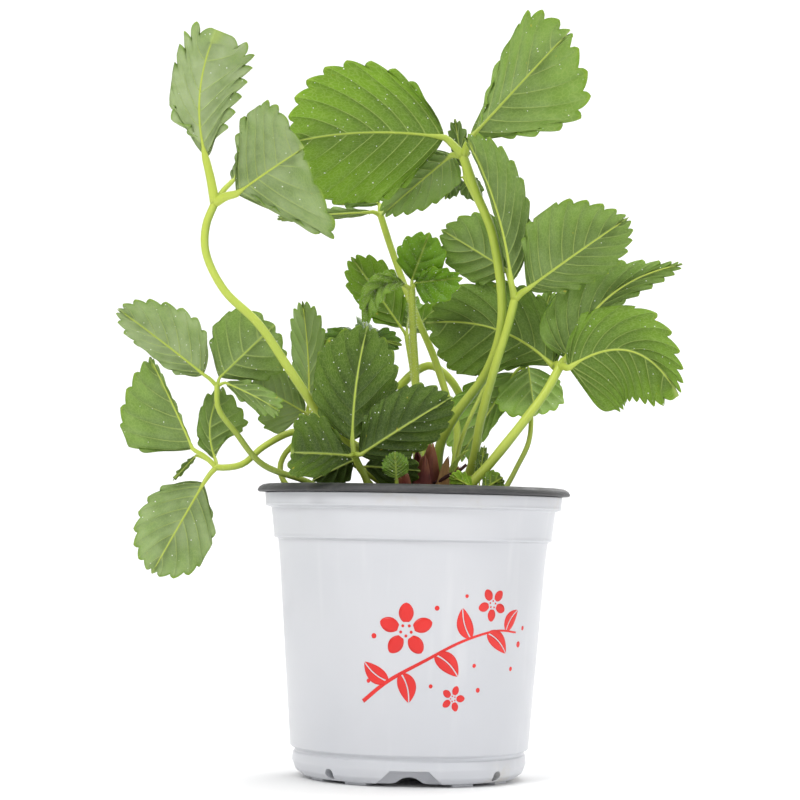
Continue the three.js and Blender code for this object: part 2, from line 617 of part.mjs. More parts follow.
function crown() {
  const { x, y, foot, top, radius, neck } = CROWN;
  const bodies = [solid(upright([neck, radius], foot, top, x, y))];
  CROWN_SCALE_TIPS.forEach((height, i) => {
    const { root, stem, half, fold, lean } = CROWN_SCALE;
    const turn = (i / CROWN_SCALE_TIPS.length) * 360 - 60;
    const [footX, footY] = around(turn, neck);
    const [tipX, tipY] = around(turn + lean, radius + 0.6);
    const shape = [-0.2, 0.1];
    const options = { up: [-footX, -footY, 0], teeth: 4, tooth: 0, entire: 0.5, shapes: [shape, shape] };
    const from = [x + footX, y + footY, CROWN_SCALE.foot];
    const scale = blade(from, [x + tipX, y + tipY, height], [half, half], [fold, fold], options);
    bodies.push(solid(leaflet(scale, [x, y, root], stem)));
  });
  return geometryOf(joined(bodies));
}

// The soil fills the liner, lumpy on top, with a hole for each stalk and for the crown.
function soil() {
  const top = SOIL_LEVEL;
  const foot = LINER_FLOOR + LINER_THICK + 0.4;
  const profile = [
    [0, foot], [54.8, foot], [63.8, COLLAR_FOOT], [64.8, 122.6], [66.8, 124.7], [67.8, top - 3],
    [62, top - 0.6], [46, top], [26, top + 0.8], [0, top + 1.4],
  ];
  const geometry = turned(profile);
  const place = geometry.attributes.position;
  for (let i = 0; i < place.count; i += 1) {
    const [x, y, z] = [place.getX(i), place.getY(i), place.getZ(i)];
    if (z < top - 1) continue;
    place.setZ(i, z + SOIL_LUMP * Math.sin(x * 0.21 + 1) * Math.cos(y * 0.17 + x * 0.05));
  }
  const stems = [...Object.values(leaves), ...Object.values(youngGrowth)];
  const holes = stems.map(({ stalk, thick }) => solid(stalkGeometry(stalk, thick, HOLE_CLEARANCE)));
  const wide = CROWN.radius + HOLE_CLEARANCE;
  const crownHole = upright([wide, wide], CROWN.foot - HOLE_CLEARANCE, CROWN.top, CROWN.x, CROWN.y);
  return geometryOf(cutBy(solid(geometry), [...holes, solid(crownHole)]));
}

// ---------------------------------------------------------------- the plant in its pot
const plant = new THREE.Group();

function place(name, geometry, look) {
  const mesh = new THREE.Mesh(geometry, look);
  mesh.name = name;
  plant.add(mesh);
}

place('pot_wall', potWall(), WHITE_PLASTIC);
place('pot_liner', potLiner(), DARK_PLASTIC);
place('soil', soil(), SOIL);
place('crown', crown(), SCALE);
for (const [name, one] of Object.entries(leaves)) place(name, one.geometry(), LEAF);
for (const [name, one] of Object.entries(youngGrowth)) place(name, one.geometry(), YOUNG_LEAF);

export default plant;
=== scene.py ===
"""A potted strawberry plant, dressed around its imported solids.

Metres in Blender, +Z up, the viewer at -Y. Sizes in the tables below are in millimetres: MM turns them
into metres where a mesh is made. Each leaf is a stalk and three leaflets that are bent sheets with veins
and teeth; the pot, its liner and the soil are turned on the Z axis; hairs, dew and soil crumbs are grown
by Geometry Nodes.
"""

import math

import bmesh
import bpy
import numpy as np
from mathutils import Matrix, Vector

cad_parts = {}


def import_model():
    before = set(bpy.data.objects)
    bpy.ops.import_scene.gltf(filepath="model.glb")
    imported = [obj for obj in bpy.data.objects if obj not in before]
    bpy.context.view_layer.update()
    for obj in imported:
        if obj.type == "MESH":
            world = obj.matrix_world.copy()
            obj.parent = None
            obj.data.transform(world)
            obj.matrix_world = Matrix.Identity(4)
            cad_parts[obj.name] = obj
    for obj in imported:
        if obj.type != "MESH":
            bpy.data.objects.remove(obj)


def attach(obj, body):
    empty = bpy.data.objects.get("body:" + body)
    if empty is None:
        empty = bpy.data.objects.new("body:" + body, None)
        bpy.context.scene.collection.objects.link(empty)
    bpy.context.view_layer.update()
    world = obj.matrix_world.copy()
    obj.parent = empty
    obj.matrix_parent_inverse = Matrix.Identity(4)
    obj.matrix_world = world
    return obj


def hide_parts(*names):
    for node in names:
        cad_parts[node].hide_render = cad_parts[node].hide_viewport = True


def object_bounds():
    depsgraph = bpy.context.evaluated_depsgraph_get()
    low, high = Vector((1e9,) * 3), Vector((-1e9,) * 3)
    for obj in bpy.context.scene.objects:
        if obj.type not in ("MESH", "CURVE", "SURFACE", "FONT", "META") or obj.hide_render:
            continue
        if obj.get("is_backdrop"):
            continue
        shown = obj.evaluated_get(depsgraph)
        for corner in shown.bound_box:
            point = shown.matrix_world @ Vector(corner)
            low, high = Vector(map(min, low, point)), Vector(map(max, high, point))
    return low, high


MM = 0.001
WELD = 2e-6                       # metres within which points are merged

# ---------------------------------------------------------------- sizes, in mm
BLADE_THICK = 0.42
MARGIN_WAVE = 0.7
WAVES = 13.8                      # how fast the margin waves along the midrib
ENTIRE = 0.8                      # the margin has no teeth up to this place, 0 base .. pi tip
TOOTH_TIP = 0.62                  # where in its row a tooth has its tip and its vein
PILLOW = 1.25                     # how far the blade puffs up between two veins
PAINTED_PLEAT_SHADING = 0.14                # painted shading of the pleats: how much lighter its green is there, darker just past each vein
PAINTED_EDGE_SHADING = 0.3                  # painted shading: how much lighter the margin is than the middle
VEIN = 0.7                        # how clear the side veins are
SHARP_TEETH = 0.2                 # 0 round teeth .. 1 pointed
TOOTH_LEAN = 0.45                 # how far a tooth leans ahead, as a share of its height
PAINTED_LIGHT_SIDE = (-0.68, -0.25, 0.69)      # painted light: the side of a stalk that is painted palest, as if the light came from there
VEIN_HEIGHT = 0.32
VEIN_LAG = 0.38                   # how far along the leaflet a side vein runs before it meets the margin
STALK_STEP = 3.0
STALK_SWELL = 0.04                # how unevenly thick a long stalk is
STALK_SIDES, SHORT_STALK_SIDES = 14, 10
SHORT_STALK_RINGS = 34
LIME_STALK = 0.8                  # how lime a stalk is where its leaf's look doesn't say
NODE_SPREAD = 1.3                 # a short stalk is thicker where it leaves the long one
SHORT_STALK = 0.7                 # its radius past that, as a share of the long stalk's
USUAL_LENGTH = 60                 # a shorter leaflet has a thinner midrib and flatter waves
RIB_SIZES = (0.35, 1.15)          # the least and the most that this changes the midrib
RIB_RADII = (0.8, 0.2)            # the midrib's, from base to tip
RIB_END = 0.12

UPPER, UNDER, STALK = 0, 1, 2     # a leaf's finishes, in their order on its mesh

BACK = (0, 1, 0.25)               # where a leaflet's upper face looks: away from the viewer and up
FRONT = (0, -1, 0)
EVEN = (0.12, 0.5)                # (how far the widest place moves to the tip, how slim the base is)
POINTED = 0.35                    # and, where a third value is not given, how slim the tip is


def blade(base, tip, half, fold, **options):
    return {"base": base, "tip": tip, "half": half, "fold": fold, **options}


def leaf(stalk, thick, *blades):
    return {"stalk": stalk, "thick": thick, "blades": blades}


def both(*shape):
    return [shape, shape]


# ---------------------------------------------------------------- the leaves
# Each leaf: the points that its stalk passes, the stalk's radius at foot and head, and its blades. Each
# blade: where it starts, where it ends, the widths of its two halves and how far each is folded up, in mm and
# degrees. The first half lies on the side of (base to tip) x (upper face). A blade's options: up, where its
# upper face looks; shapes, the margin of each half; arch and side, how far the midrib bows up and sideways,
# as shares of its length; curl, how far a half bends up to its margin, in radians; opened, how many degrees
# more each half is folded at the tip; rolled, where across the first half it starts to roll and by how many
# degrees; teeth, how many to a side; tooth, their height; lag, its own VEIN_LAG.
LEAVES = {
    "leaf_top_left": leaf(
        [[10, -6, 126], [6, -8, 146], [-18, -22, 160], [-43, -38, 177], [-61, -50, 201], [-78, -60, 225],
         [-95, -66, 241], [-104, -69, 259], [-104, -70, 272], [-100, -70, 283]],
        [2.5, 1.9],
        blade([-105, -71, 305], [-102, -84, 360], [15, 20], [6, 20],
              shapes=[[0.8, 9, -0.4], [0.6, -0.3, -0.7]], side=0.084, teeth=8, tooth=5.2, lag=0.42),
        blade([-92, -62, 295], [-87, -50, 311], [3, 4], [11, 11]),
        blade([-89, -76, 287], [-57, -112, 303.5], [28.5, 41], [5, -8],
              shapes=[[0.5, 1.5, -0.4], [0.9, 1, 2]], arch=0.08, teeth=9, tooth=3.2, lag=0.45, tone=0.5,
              silver=0.65),
    ),
    "leaf_top_centre": leaf(
        [[12, 6, 126], [12, 4, 144], [13, 2, 169], [20, -3, 184], [35, -8, 205], [42, -12, 224],
         [43, -14, 242], [37, -15, 278], [29, -14, 297], [22, -13, 316]],
        [2.7, 2.4],
        blade([12, -13, 326], [-64, -34, 319], [38, 34.5], [9, 9], side=-0.04, arch=0.06, teeth=10,
              tooth=3.2, lag=0.45),
        blade([16, -6, 318], [-18, 22, 291], [15.5, 14.5], [11, 17], shapes=[[-0.4, 0.1], [0.1, 0.5]],
              tone=0.75, silver=0.45),
        blade([25, -16, 325], [71.5, -36, 375], [28, 31.5], [62, 3],
              shapes=[[0.95, 2, 0.1], [0.7, 0.3, 1.3]], opened=[-40, 0], teeth=9, tooth=4, lag=0.42,
              silver=0.28),
    ),
    "leaf_right_upper": leaf(
        [[24, 2, 126], [25, 0, 144], [30, -6, 162], [33, -11, 181], [39, -16, 206], [46, -19, 230],
         [49, -20, 243]],
        [2.5, 2.1],
        blade([47, -24, 251], [23, -44, 320], [3.5, 24], [60, 43], side=-0.05),
        blade([55, -24, 248], [102, -44, 281.5], [27, 19], [6, 20], shapes=[[-0.1, 1, 0.6], [0.1, 0.4]],
              teeth=10, tooth=2.6, lag=0.3),
        blade([45, -10, 259], [13, -2, 279], [17, 19], [18, 11], shapes=[[0.05, 0.2], [0.05, 0.3]]),
    ),
    "leaf_right_lower": leaf(
        [[20, -26, 126], [24, -26, 143], [38, -27, 160], [55, -28, 182], [65, -28, 196], [72, -27, 209]],
        [2.7, 2.2],
        blade([76, -19, 214], [132, -11, 263], [22, 8], [11, 25], shapes=[[-0.8, -0.2], [0.5, 0.5]],
              side=0.13, opened=[40, 0], rolled=[0.76, -150]),
        blade([76, -33, 208], [126.5, -56, 197.5], [22.5, 30], [11, 6],
              shapes=[[-0.45, 0.3], [-0.3, -0.8, -0.6]], side=0.24, arch=0.08, teeth=10, tooth=3,
              silver=0.05),
        blade([70, -11, 210], [7, 11, 233], [28, 24], [6, 6], shapes=[[0.75, 0.5, 0], [-0.05, 0.1]],
              side=-0.11, tone=0.42, silver=0.1),
    ),
    "leaf_right_back": leaf(
        [[41, 18, 126], [45, 20, 142], [53, 24, 158], [60, 27, 174], [60, 30, 194], [56, 32, 206],
         [57, 33, 213]],
        [1.5, 1.2],
        blade([52, 32, 209], [24, 28, 164], [9, 18], [30, 11]),
        blade([59, 30, 212], [62, 12, 187], [17, 19], [11, 11], shapes=both(-0.05, 0.3)),
        blade([60, 36, 216], [71, 46, 253], [9.5, 9.5], [23, 23]),
    ),
    "leaf_left_upper": leaf(
        [[-28, -24, 126], [-36, -28, 138], [-52, -34, 148], [-76, -38, 157], [-89, -40, 172],
         [-98, -41, 184], [-99, -41, 195]],
        [1.7, 1.4],
        blade([-106, -42, 201], [-147, -46, 231], [13, 18], [28, 9],
              shapes=[[0.05, 0.2], [-0.15, 0.3, 0.1]], silver=0.75),
        blade([-98, -39, 199.5], [-72.5, -38, 225], [21, 18.5], [6, 6], shapes=[[0.3, 0.5, 0], [0.5, 1.1]]),
        blade([-95, -40, 197], [-68, -56, 183], [7.5, 7], [40, 25], arch=0.1),
    ),
    "leaf_left_lower": leaf(
        [[-6, 4, 126], [-8, 2, 141], [-32, -8, 160], [-49, -16, 173], [-61, -20, 174], [-76, -26, 166],
         [-86, -30, 157], [-94, -32, 155], [-99, -33, 155]],
        [2.0, 1.6],
        blade([-111, -33, 164], [-133, -30, 208], [31, 1.5], [6, 60], shapes=[[-0.2, 1.5], [-0.25, 0]],
              lag=0.45),
        blade([-105, -35, 147], [-128, -44, 103.5], [20, 20.5], [9, 17], shapes=[[0.35, 1.6], [0, 0.3]],
              silver=0.65),
        blade([-100, -26, 159], [-98.5, -20, 194], [7, 18], [15, 12], shapes=[[0.2, 0.6], [0.95, 5]],
              side=0.12),
        blade([-110, -24, 161], [-121, -20, 149], [2.4, 2], [45, 45]),
    ),
    "leaf_front": leaf(
        [[-17, -39, 126], [-21, -42, 140], [-24, -46, 150], [-28, -50, 158], [-30, -53, 162]],
        [1.9, 1.6],
        blade([-31, -55, 169], [-25, -60, 223], [22, 21], [11, 20], shapes=both(0.1, 0.5), side=0.03,
              lag=0.42),
        blade([-27, -56, 162], [16, -60, 190], [17, 16.6], [11, 17], shapes=both(0.1, 0.3), tone=0.0),
        blade([-32, -57, 161.5], [-58.5, -82, 161.5], [14.5, 18], [11, 11],
              shapes=[[0.2, 0.5, 0], [0.5, 1.5, -0.5]]),
    ),
    "leaf_left_back": leaf(
        [[-52, 2, 126], [-56, 3, 140], [-66, 4, 148], [-69, 6, 156], [-67, 7, 163], [-62, 8, 169],
         [-58, 9, 176], [-56, 9, 184]],
        [1.6, 1.4],
        blade([-55, 9, 190], [-59, 2, 240], [12, 12], [38, 38], shapes=both(0.25, 0.6), side=-0.02),
        blade([-57, 4, 185], [-82, -20, 197.5], [20, 12], [11, 11],
              shapes=[[-0.9, -0.7, 0.1], [0.3, 0, -0.3]]),
        blade([-51, 14, 188], [-33, 30, 203], [11, 11], [11, 11]),
    ),
    "leaf_back_low": leaf(
        [[-8, 20, 126], [-7, 22, 141], [-16, 34, 173], [-24, 46, 205], [-28, 50, 221]],
        [1.6, 1.3],
        blade([-31, 47, 226], [-50, 26, 223], [7, 6], [-17, -17], up=FRONT, arch=0.16),
        blade([-24, 49, 227], [-9, 33, 223], [6, 6], [-17, -17], up=FRONT, arch=0.14),
        blade([-27, 54, 225], [-22, 86, 234], [11, 11], [11, 11], up=FRONT),
    ),
    "leaf_young": leaf(
        [[1, 12, 126], [2, 10, 143], [1, 11, 172], [0, 11, 201], [-2, 10, 229], [-3, 8, 249]],
        [2.3, 1.9],
        blade([-3, 8, 255], [5, -1, 277], [13, 11.5], [6, 6], up=FRONT, shapes=both(0.15, 0.3)),
        blade([-1, 5, 253], [21, -12, 254], [12, 6], [6, 23], up=FRONT, arch=0.06),
        blade([-7, 5, 252], [-27, -12, 231], [9, 8], [42, 42], up=FRONT, side=0.22, silver=0.5, down=70,
              pillow=1.6),
    ),
    "leaf_behind_young": leaf(
        [[9, 24, 126], [8, 22, 142], [3, 30, 178], [-2, 34, 210], [-5, 36, 227]],
        [1.6, 1.3],
        blade([-8, 36, 232], [-34, 32, 267], [12.5, 13], [11, 11], shapes=both(0.15, 0.6)),
        blade([-2, 38, 230], [12, 44, 245], [6.4, 6.4], [17, 17]),
        blade([-5, 42, 233], [-2, 66, 252], [9, 9], [11, 11]),
    ),
    "leaf_back_tall": leaf(
        [[19, 18, 126], [19, 16, 144], [22, 20, 178], [16, 23, 197], [9, 26, 217], [1, 28, 235],
         [-8, 31, 257], [-15, 34, 276], [-20, 36, 291]],
        [2.0, 1.8],
        blade([-24, 35, 293], [-72, 20, 287], [8, 5], [60, 60]),
        blade([-21, 42, 298], [-49, 76, 323], [16, 16], [11, 11], up=FRONT),
        blade([-17, 44, 297], [3, 82, 321], [16, 16], [11, 11], up=FRONT),
    ),
    "leaf_back_small": leaf(
        [[22, 10, 126], [20, 8.5, 143], [24, 8, 172], [38, 12, 206], [44, 12, 227], [44, 9, 244],
         [38, 4, 279], [28, 2, 298], [23, 4, 308]],
        [1.2, 1.0],
        blade([22, 6, 314], [18, 12, 338], [4.8, 4.8], [12, 12], shapes=both(0.1, 0.2)),
        blade([24, 6, 307], [31, 16, 298], [6, 6], [17, 17]),
        blade([20, 8, 308], [14, 26, 300], [5, 5], [17, 17]),
    ),
    "leaf_front_low": leaf(
        [[-15, -16, 126], [-18, -18, 139], [-21, -21, 147], [-25, -24, 152], [-28, -26, 156]],
        [1.5, 1.3],
        blade([-31, -24, 160], [-50, -24, 150], [10, 9], [11, 11]),
        blade([-25, -27, 157], [1, -38, 155], [9, 10], [11, 11]),
        blade([-30, -23, 158], [-38, -17, 170], [4.5, 4.5], [17, 17]),
    ),
}

YOUNG_GROWTH = {
    "seedling_leaf": leaf(
        [[-8, -54, 126], [-8, -58, 140], [-9, -61, 150]],
        [1.1, 0.9],
        blade([-9, -62, 151], [-10, -64, 163], [6.4, 6.4], [8, 8], up=FRONT, shapes=both(0, 0), teeth=9,
              tooth=0.8),
    ),
    "new_leaf_right": leaf(
        [[30, -38, 126], [31, -40, 139], [32, -41, 142]],
        [1.2, 1.0],
        blade([29, -43, 147], [18, -47, 152.5], [4.2, 4.6], [20, 20], tone=1.3),
        blade([34, -43, 146], [43, -46, 152], [6.5, 5], [20, 20], tone=0.5, shapes=both(0.3, 0)),
        blade([33, -18, 152], [35, -16, 168], [3.4, 3.4], [30, 30], tone=0.2),
    ),
    "runner": leaf(
        [[34, 42, 126], [32, 43, 150], [28, 44, 180], [25, 44, 194], [19, 45, 205], [8, 47, 213],
         [-1, 48, 209], [-8, 49, 202]],
        [2.0, 2.3],
        blade([-9, 49, 201], [-20, 50, 198], [3.4, 3.4], [50, 50]),
    ),
}

# How each leaf looks: tone 0 dark .. 1 lime; silver 0 .. 1; vein, how clear its side veins are; stem, how
# lime its stalk is; short, its short stalks' radius in mm; pillow, its own PILLOW; hair, down and dew, how
# many strands on a square centimetre of stalk, strands on one of blade and drops on one of blade. A blade's
# own values come before its leaf's.
# A leaf's tone is partly its own green and partly painted light: higher for leaves that light shines through,
# lower for a leaf in deep shade.
LOOKS = {
    "leaf_top_left": {"tone": 0.6, "silver": 0.95, "dew": 0.4, "short": 2.0, "stem": 1.0},
    "leaf_top_centre": {"tone": 0.64, "silver": 0.05, "dew": 1.2, "short": 1.7, "stem": 0.4},
    "leaf_right_upper": {"tone": 0.5, "silver": 0.25, "dew": 0.2, "short": 1.5, "stem": 0.7},
    "leaf_right_lower": {"tone": 0.5, "silver": 0.2, "dew": 0.8, "short": 1.7, "stem": 0.95},
    "leaf_right_back": {"tone": 0.9, "silver": 0.4, "dew": 1.5, "stem": 0.8},
    "leaf_left_upper": {"tone": 0.5, "silver": 0.3, "dew": 2.0, "stem": 0.45},
    "leaf_left_lower": {"tone": 0.5, "silver": 0.25, "dew": 0.5, "short": 1.2, "stem": 0.95},
    "leaf_front": {"tone": 0.2, "silver": 0.0, "dew": 1.4, "short": 1.3, "vein": 0.32, "stem": 0.6},
    "leaf_left_back": {"tone": 0.8, "silver": 0.6, "dew": 0.8, "stem": 1.0},
    "leaf_back_low": {"tone": 0.5, "silver": 0.1, "dew": 1.5, "hair": 60},
    "leaf_young": {"tone": 0.9, "silver": 0.0, "dew": 0.6, "hair": 160, "down": 25, "pillow": 1.0,
                   "vein": 0.4},
    "leaf_behind_young": {"tone": 0.68, "silver": 0.05, "dew": 0.5, "hair": 60},
    "leaf_back_tall": {"tone": 0.5, "silver": 0.4, "dew": 1.5},
    "leaf_back_small": {"tone": 0.3, "silver": 0.2, "dew": 1.0},
    "leaf_front_low": {"tone": 0.0, "silver": 0.0, "dew": 0.5, "vein": 0.3},
    "seedling_leaf": {"tone": 0.5, "silver": 0.2, "dew": 1.5, "down": 20},
    "new_leaf_right": {"tone": 0.8, "silver": 0.1, "dew": 0.5, "down": 20},
    "runner": {"tone": 1.0, "silver": 0.3, "dew": 0.0, "stem": 1.0},
}
BLADE_LOOKS = ("tone", "silver", "pillow", "down")


# ---------------------------------------------------------------- small sums
def unit(v):
    v = np.asarray(v, float)
    return v / np.maximum(np.linalg.norm(v, axis=-1, keepdims=True), 1e-12)


def dot(a, b):
    return np.sum(a * b, axis=-1, keepdims=True)


def smooth(x):
    x = np.clip(x, 0, 1)
    return x * x * (3 - 2 * x)


def blend(a, b, share):
    return a + (b - a) * share


def facing(degrees):
    """The level way out at an angle round the Z axis, and the way to the left of it."""
    angle = math.radians(degrees)
    return np.array([math.cos(angle), math.sin(angle), 0]), np.array([-math.sin(angle), math.cos(angle), 0])


# ---------------------------------------------------------------- meshes and objects
def in_scene(name, data):
    made = bpy.data.objects.new(name, data)
    bpy.context.scene.collection.objects.link(made)
    return made


def reworked(data, change):
    """The mesh after change(shell) has worked on it."""
    shell = bmesh.new()
    shell.from_mesh(data)
    change(shell)
    shell.to_mesh(data)
    shell.free()
    return data


def facing_out(made):
    reworked(made.data, lambda shell: bmesh.ops.recalc_face_normals(shell, faces=shell.faces))


def plain(made):
    """The piece with its modifiers worked into a mesh of its own."""
    seen = made.evaluated_get(bpy.context.evaluated_depsgraph_get())
    data = bpy.data.meshes.new_from_object(seen)
    made.modifiers.clear()
    made.data = data
    data.name = made.name
    return made


class Skin:
    """The points and faces of one piece, with the finish of each face and the marks and UV of each point."""

    def __init__(self):
        self.points, self.marks, self.growth, self.uv, self.faces, self.finish = [], [], [], [], [], []
        self.count = 0

    def add(self, points, faces, finish=0, marks=(0, 0, 0, 0), uv=(0, 0), growth=(0, 0)):
        points = np.asarray(points, float).reshape(-1, 3)
        number = len(points)
        self.points.append(points)
        self.marks.append(np.broadcast_to(np.asarray(marks, float), (number, 4)))
        self.uv.append(np.broadcast_to(np.asarray(uv, float), (number, 2)))
        self.growth.append(np.broadcast_to(np.asarray(growth, float), (number, 2)))
        self.faces += [[i + self.count for i in face] for face in faces]
        self.finish += [finish] * len(faces)
        self.count += number

    def mesh(self, name):
        data = bpy.data.meshes.new(name)
        data.from_pydata(np.concatenate(self.points) * MM, [], self.faces)
        data.polygons.foreach_set("material_index", self.finish)
        data.polygons.foreach_set("use_smooth", [True] * len(self.faces))
        marks = data.attributes.new("marks", "FLOAT_COLOR", "POINT")
        marks.data.foreach_set("color", np.concatenate(self.marks).ravel())
        corners = np.zeros(len(data.loops), int)
        data.loops.foreach_get("vertex_index", corners)
        layer = data.uv_layers.new(name="veins")
        layer.data.foreach_set("uv", np.concatenate(self.uv)[corners].ravel())
        for k, small_thing in enumerate(("hair", "dew")):
            grown = data.attributes.new(small_thing, "FLOAT", "POINT")
            grown.data.foreach_set("value", np.concatenate(self.growth)[:, k].copy())
        return reworked(data, lambda shell: bmesh.ops.remove_doubles(shell, verts=shell.verts, dist=WELD))

    def piece(self, name, finishes):
        made = in_scene(name, self.mesh(name))
        for finish in finishes:
            made.data.materials.append(finish)
        return made


def grid_faces(rows, columns, around=False):
    """Four-sided faces between rows of points; with around, each row closes on itself."""
    faces = []
    for row in range(0, (rows - 1) * columns, columns):
        for j in range(columns if around else columns - 1):
            k = (j + 1) % columns
            faces.append([row + j, row + k, row + columns + k, row + columns + j])
    return faces


# ---------------------------------------------------------------- stalks
SPAN_POINTS = 40                  # places worked out between two points of a curve
# A stalk's rounded end: how far past its last point each ring stands and how wide it is, in radii
ROUND_END = np.array([[0.55, 0.95], [0.95, 0.55], [1.05, 0.15]])


def centripetal(points, number):
    """Evenly spaced points on the curve that the solids' stalks follow."""
    p = np.asarray(points, float)
    p = np.vstack([2 * p[0] - p[1], p, 2 * p[-1] - p[-2]])
    walk = []
    for i in range(1, len(p) - 2):
        a, b, c, d = p[i - 1:i + 3]
        da, db, dc = (np.linalg.norm(v) ** 0.5 for v in (b - a, c - b, d - c))
        start = ((b - a) / da - (c - a) / (da + db) + (c - b) / db) * db
        end = ((c - b) / db - (d - b) / (db + dc) + (d - c) / dc) * db
        t = np.linspace(0, 1, SPAN_POINTS, endpoint=False)[:, None]
        walk.append(b + start * t + (3 * (c - b) - 2 * start - end) * t ** 2
                    + (2 * (b - c) + start + end) * t ** 3)
    walk = np.vstack([*walk, p[-2]])
    far = np.concatenate([[0], np.cumsum(np.linalg.norm(np.diff(walk, axis=0), axis=1))])
    places = np.linspace(0, far[-1], number)
    return np.stack([np.interp(places, far, walk[:, k]) for k in range(3)], axis=1)


def tube(path, radii, sides):
    """Rings round a path that turn no more than they must, closed at both ends."""
    path = np.asarray(path, float)
    along = unit(np.gradient(path, axis=0))
    across = unit(np.cross(along[0], (0.3, 1, 0.2)))
    turn = np.linspace(0, 2 * math.pi, sides, endpoint=False)[:, None]
    rings = []
    for middle, way, radius in zip(path, along, radii):
        across = unit(across - way * np.dot(across, way))
        other = np.cross(way, across)
        rings.append(middle + radius * (np.cos(turn) * across + np.sin(turn) * other))
    points = np.vstack([*rings, path[0], path[-1]])
    faces = grid_faces(len(path), sides, around=True)
    first, last = len(points) - 2, len(points) - 1
    end = (len(path) - 1) * sides
    faces += [[first, (k + 1) % sides, k] for k in range(sides)]
    faces += [[last, end + k, end + (k + 1) % sides] for k in range(sides)]
    return points, faces


def long_stalk(skin, stalk, thick, look):
    length = np.sum(np.linalg.norm(np.diff(np.asarray(stalk, float), axis=0), axis=1))
    number = max(8, int(length / STALK_STEP))
    path = centripetal(stalk, number)
    share = np.linspace(0, 1, number)
    radii = blend(thick[0], thick[1], share) * (1 + STALK_SWELL * np.sin(share * 21) * np.sin(share * 8 + 1))
    head = path[-1] + unit(path[-1] - path[-2]) * thick[1] * ROUND_END[:, :1]
    radii = np.concatenate([radii, thick[1] * ROUND_END[:, 1]])
    path = np.vstack([path, head])
    points, faces = tube(path, radii, STALK_SIDES)
    outward = unit(points[:-2].reshape(len(path), STALK_SIDES, 3) - path[:, None])
    # painted light: each ring is painted paler on the side that faces the light and darker on the far side
    painted_lit_side = np.append(0.5 + 0.5 * dot(outward, PAINTED_LIGHT_SIDE).ravel(), [0.5, 0.5])
    marks = np.stack([painted_lit_side, 0 * painted_lit_side + look.get("stem", LIME_STALK), 0 * painted_lit_side, 0 * painted_lit_side], axis=-1)
    skin.add(points, faces, STALK, marks, growth=(look.get("hair", 0), 0))


# ---------------------------------------------------------------- leaflets
def margin(place, shape):
    """The margin before its teeth, as far along the midrib and as far out, each from 0 to 1."""
    forward, slim, pointed = (*shape, POINTED)[:3]
    to_base = 0.5 + 0.5 * np.cos(place)
    spread = np.clip(np.sin(place), 0, 1) ** (1 + slim * to_base + pointed * (1 - to_base))
    return 1 - to_base, spread * np.maximum(0, 1 - forward * np.cos(place))


class Sheet:
    """A leaflet's middle surface: x of the way along its midrib, and across mm out from it."""

    def __init__(self, base, tip, half, fold, up=BACK, shapes=(EVEN, EVEN), arch=0.04, side=0, curl=0.2,
                 opened=(0, 0), rolled=(1, 0), **others):
        self.base = np.array(base, float)
        self.length = np.linalg.norm(np.array(tip, float) - self.base)
        self.along = (np.array(tip, float) - self.base) / self.length
        self.up = unit(np.array(up, float) - self.along * np.dot(up, self.along))
        self.out = np.cross(self.along, self.up)
        self.half, self.shapes, self.curl = half, shapes, curl
        self.fold, self.opened = np.radians(fold), np.radians(opened)
        self.roll_from, self.roll = rolled[0], math.radians(rolled[1])
        self.arch, self.side = arch * self.length, side * self.length

    def rib(self, x):
        x = np.asarray(x, float)[..., None]
        bow = 4 * x * (1 - x)
        return (self.base + self.along * x * self.length + self.up * self.arch * bow
                + self.out * self.side * bow)

    def frame(self, x):
        along = unit(self.rib(x + 0.01) - self.rib(x - 0.01))
        up = unit(self.up - along * dot(self.up, along))
        return along, up, np.cross(along, up)

    def at(self, x, reach, part):
        """Points and the directions of the upper face, reach mm out on one half (0 or 1)."""
        up, out = self.frame(x)[1:]
        out = out * (1 if part == 0 else -1)
        bend = self.curl / self.half[part]
        start = (self.fold[part] + self.opened[part] * x ** 2)[..., None]
        flat = np.minimum(reach, self.roll_from * self.half[part]) if part == 0 else reach
        end = start + (bend * flat)[..., None]
        ripple = MARGIN_WAVE * (reach / self.half[part]) ** 2 * np.sin(WAVES * x + 1.7 * part)
        point = self.rib(x) + out * (np.sin(end) - np.sin(start)) / bend
        point = point + up * ((np.cos(start) - np.cos(end)) / bend + ripple[..., None])
        if part == 0 and self.roll:
            tight = self.roll / ((1.1 - self.roll_from) * self.half[0])
            start, end = end, end + (tight * (reach - flat))[..., None]
            point = point + out * (np.sin(end) - np.sin(start)) / tight
            point = point + up * (np.cos(start) - np.cos(end)) / tight
        return point, up * np.cos(end) - out * np.sin(end)

    def edge(self, place, part, proud, ahead):
        """The margin's x and mm out, and how far its teeth move it in both."""
        shape = self.shapes[part]
        every = np.arange(0, math.pi, 0.02)
        full = self.half[part] / np.max(margin(every, shape)[1])
        x, out = margin(place, shape)
        before = margin(np.clip(place - 0.005, 0, math.pi), shape)
        after = margin(np.clip(place + 0.005, 0, math.pi), shape)
        step = unit(np.stack([(after[0] - before[0]) * self.length, (after[1] - before[1]) * full], axis=-1))
        move_x = (ahead * step[..., 0] - proud * step[..., 1]) / self.length
        move_out = ahead * step[..., 1] + proud * step[..., 0]
        return x, out * full, move_x, move_out


# Where rows of points lie: in the toothless part at the base, in each tooth, in half a tooth at the tip
BASE_ROWS = np.array([0, 0.1, 0.22, 0.34, 0.45, 0.51, 0.55, 0.59, 0.68, 0.84])
ROW_STEPS = np.array([0, 0.13, 0.27, 0.4, 0.5, 0.565, 0.6, 0.62, 0.64, 0.675, 0.75, 0.87])
TIP_ROWS = np.array([0, 0.1, 0.2, 0.3, 0.4, 0.5])
BASE_VEIN = 0.55                  # the toothless part's own vein
FEW_TEETH = 6                     # a leaflet with no more teeth has every other row
TOOTH_WIDTH, TOOTH_GROWTH = 4.0, 0.045
TOOTH_COUNTS = (5, 11)
TOOTH_HEIGHT = 0.3375             # as a share of the leaflet's length over its teeth
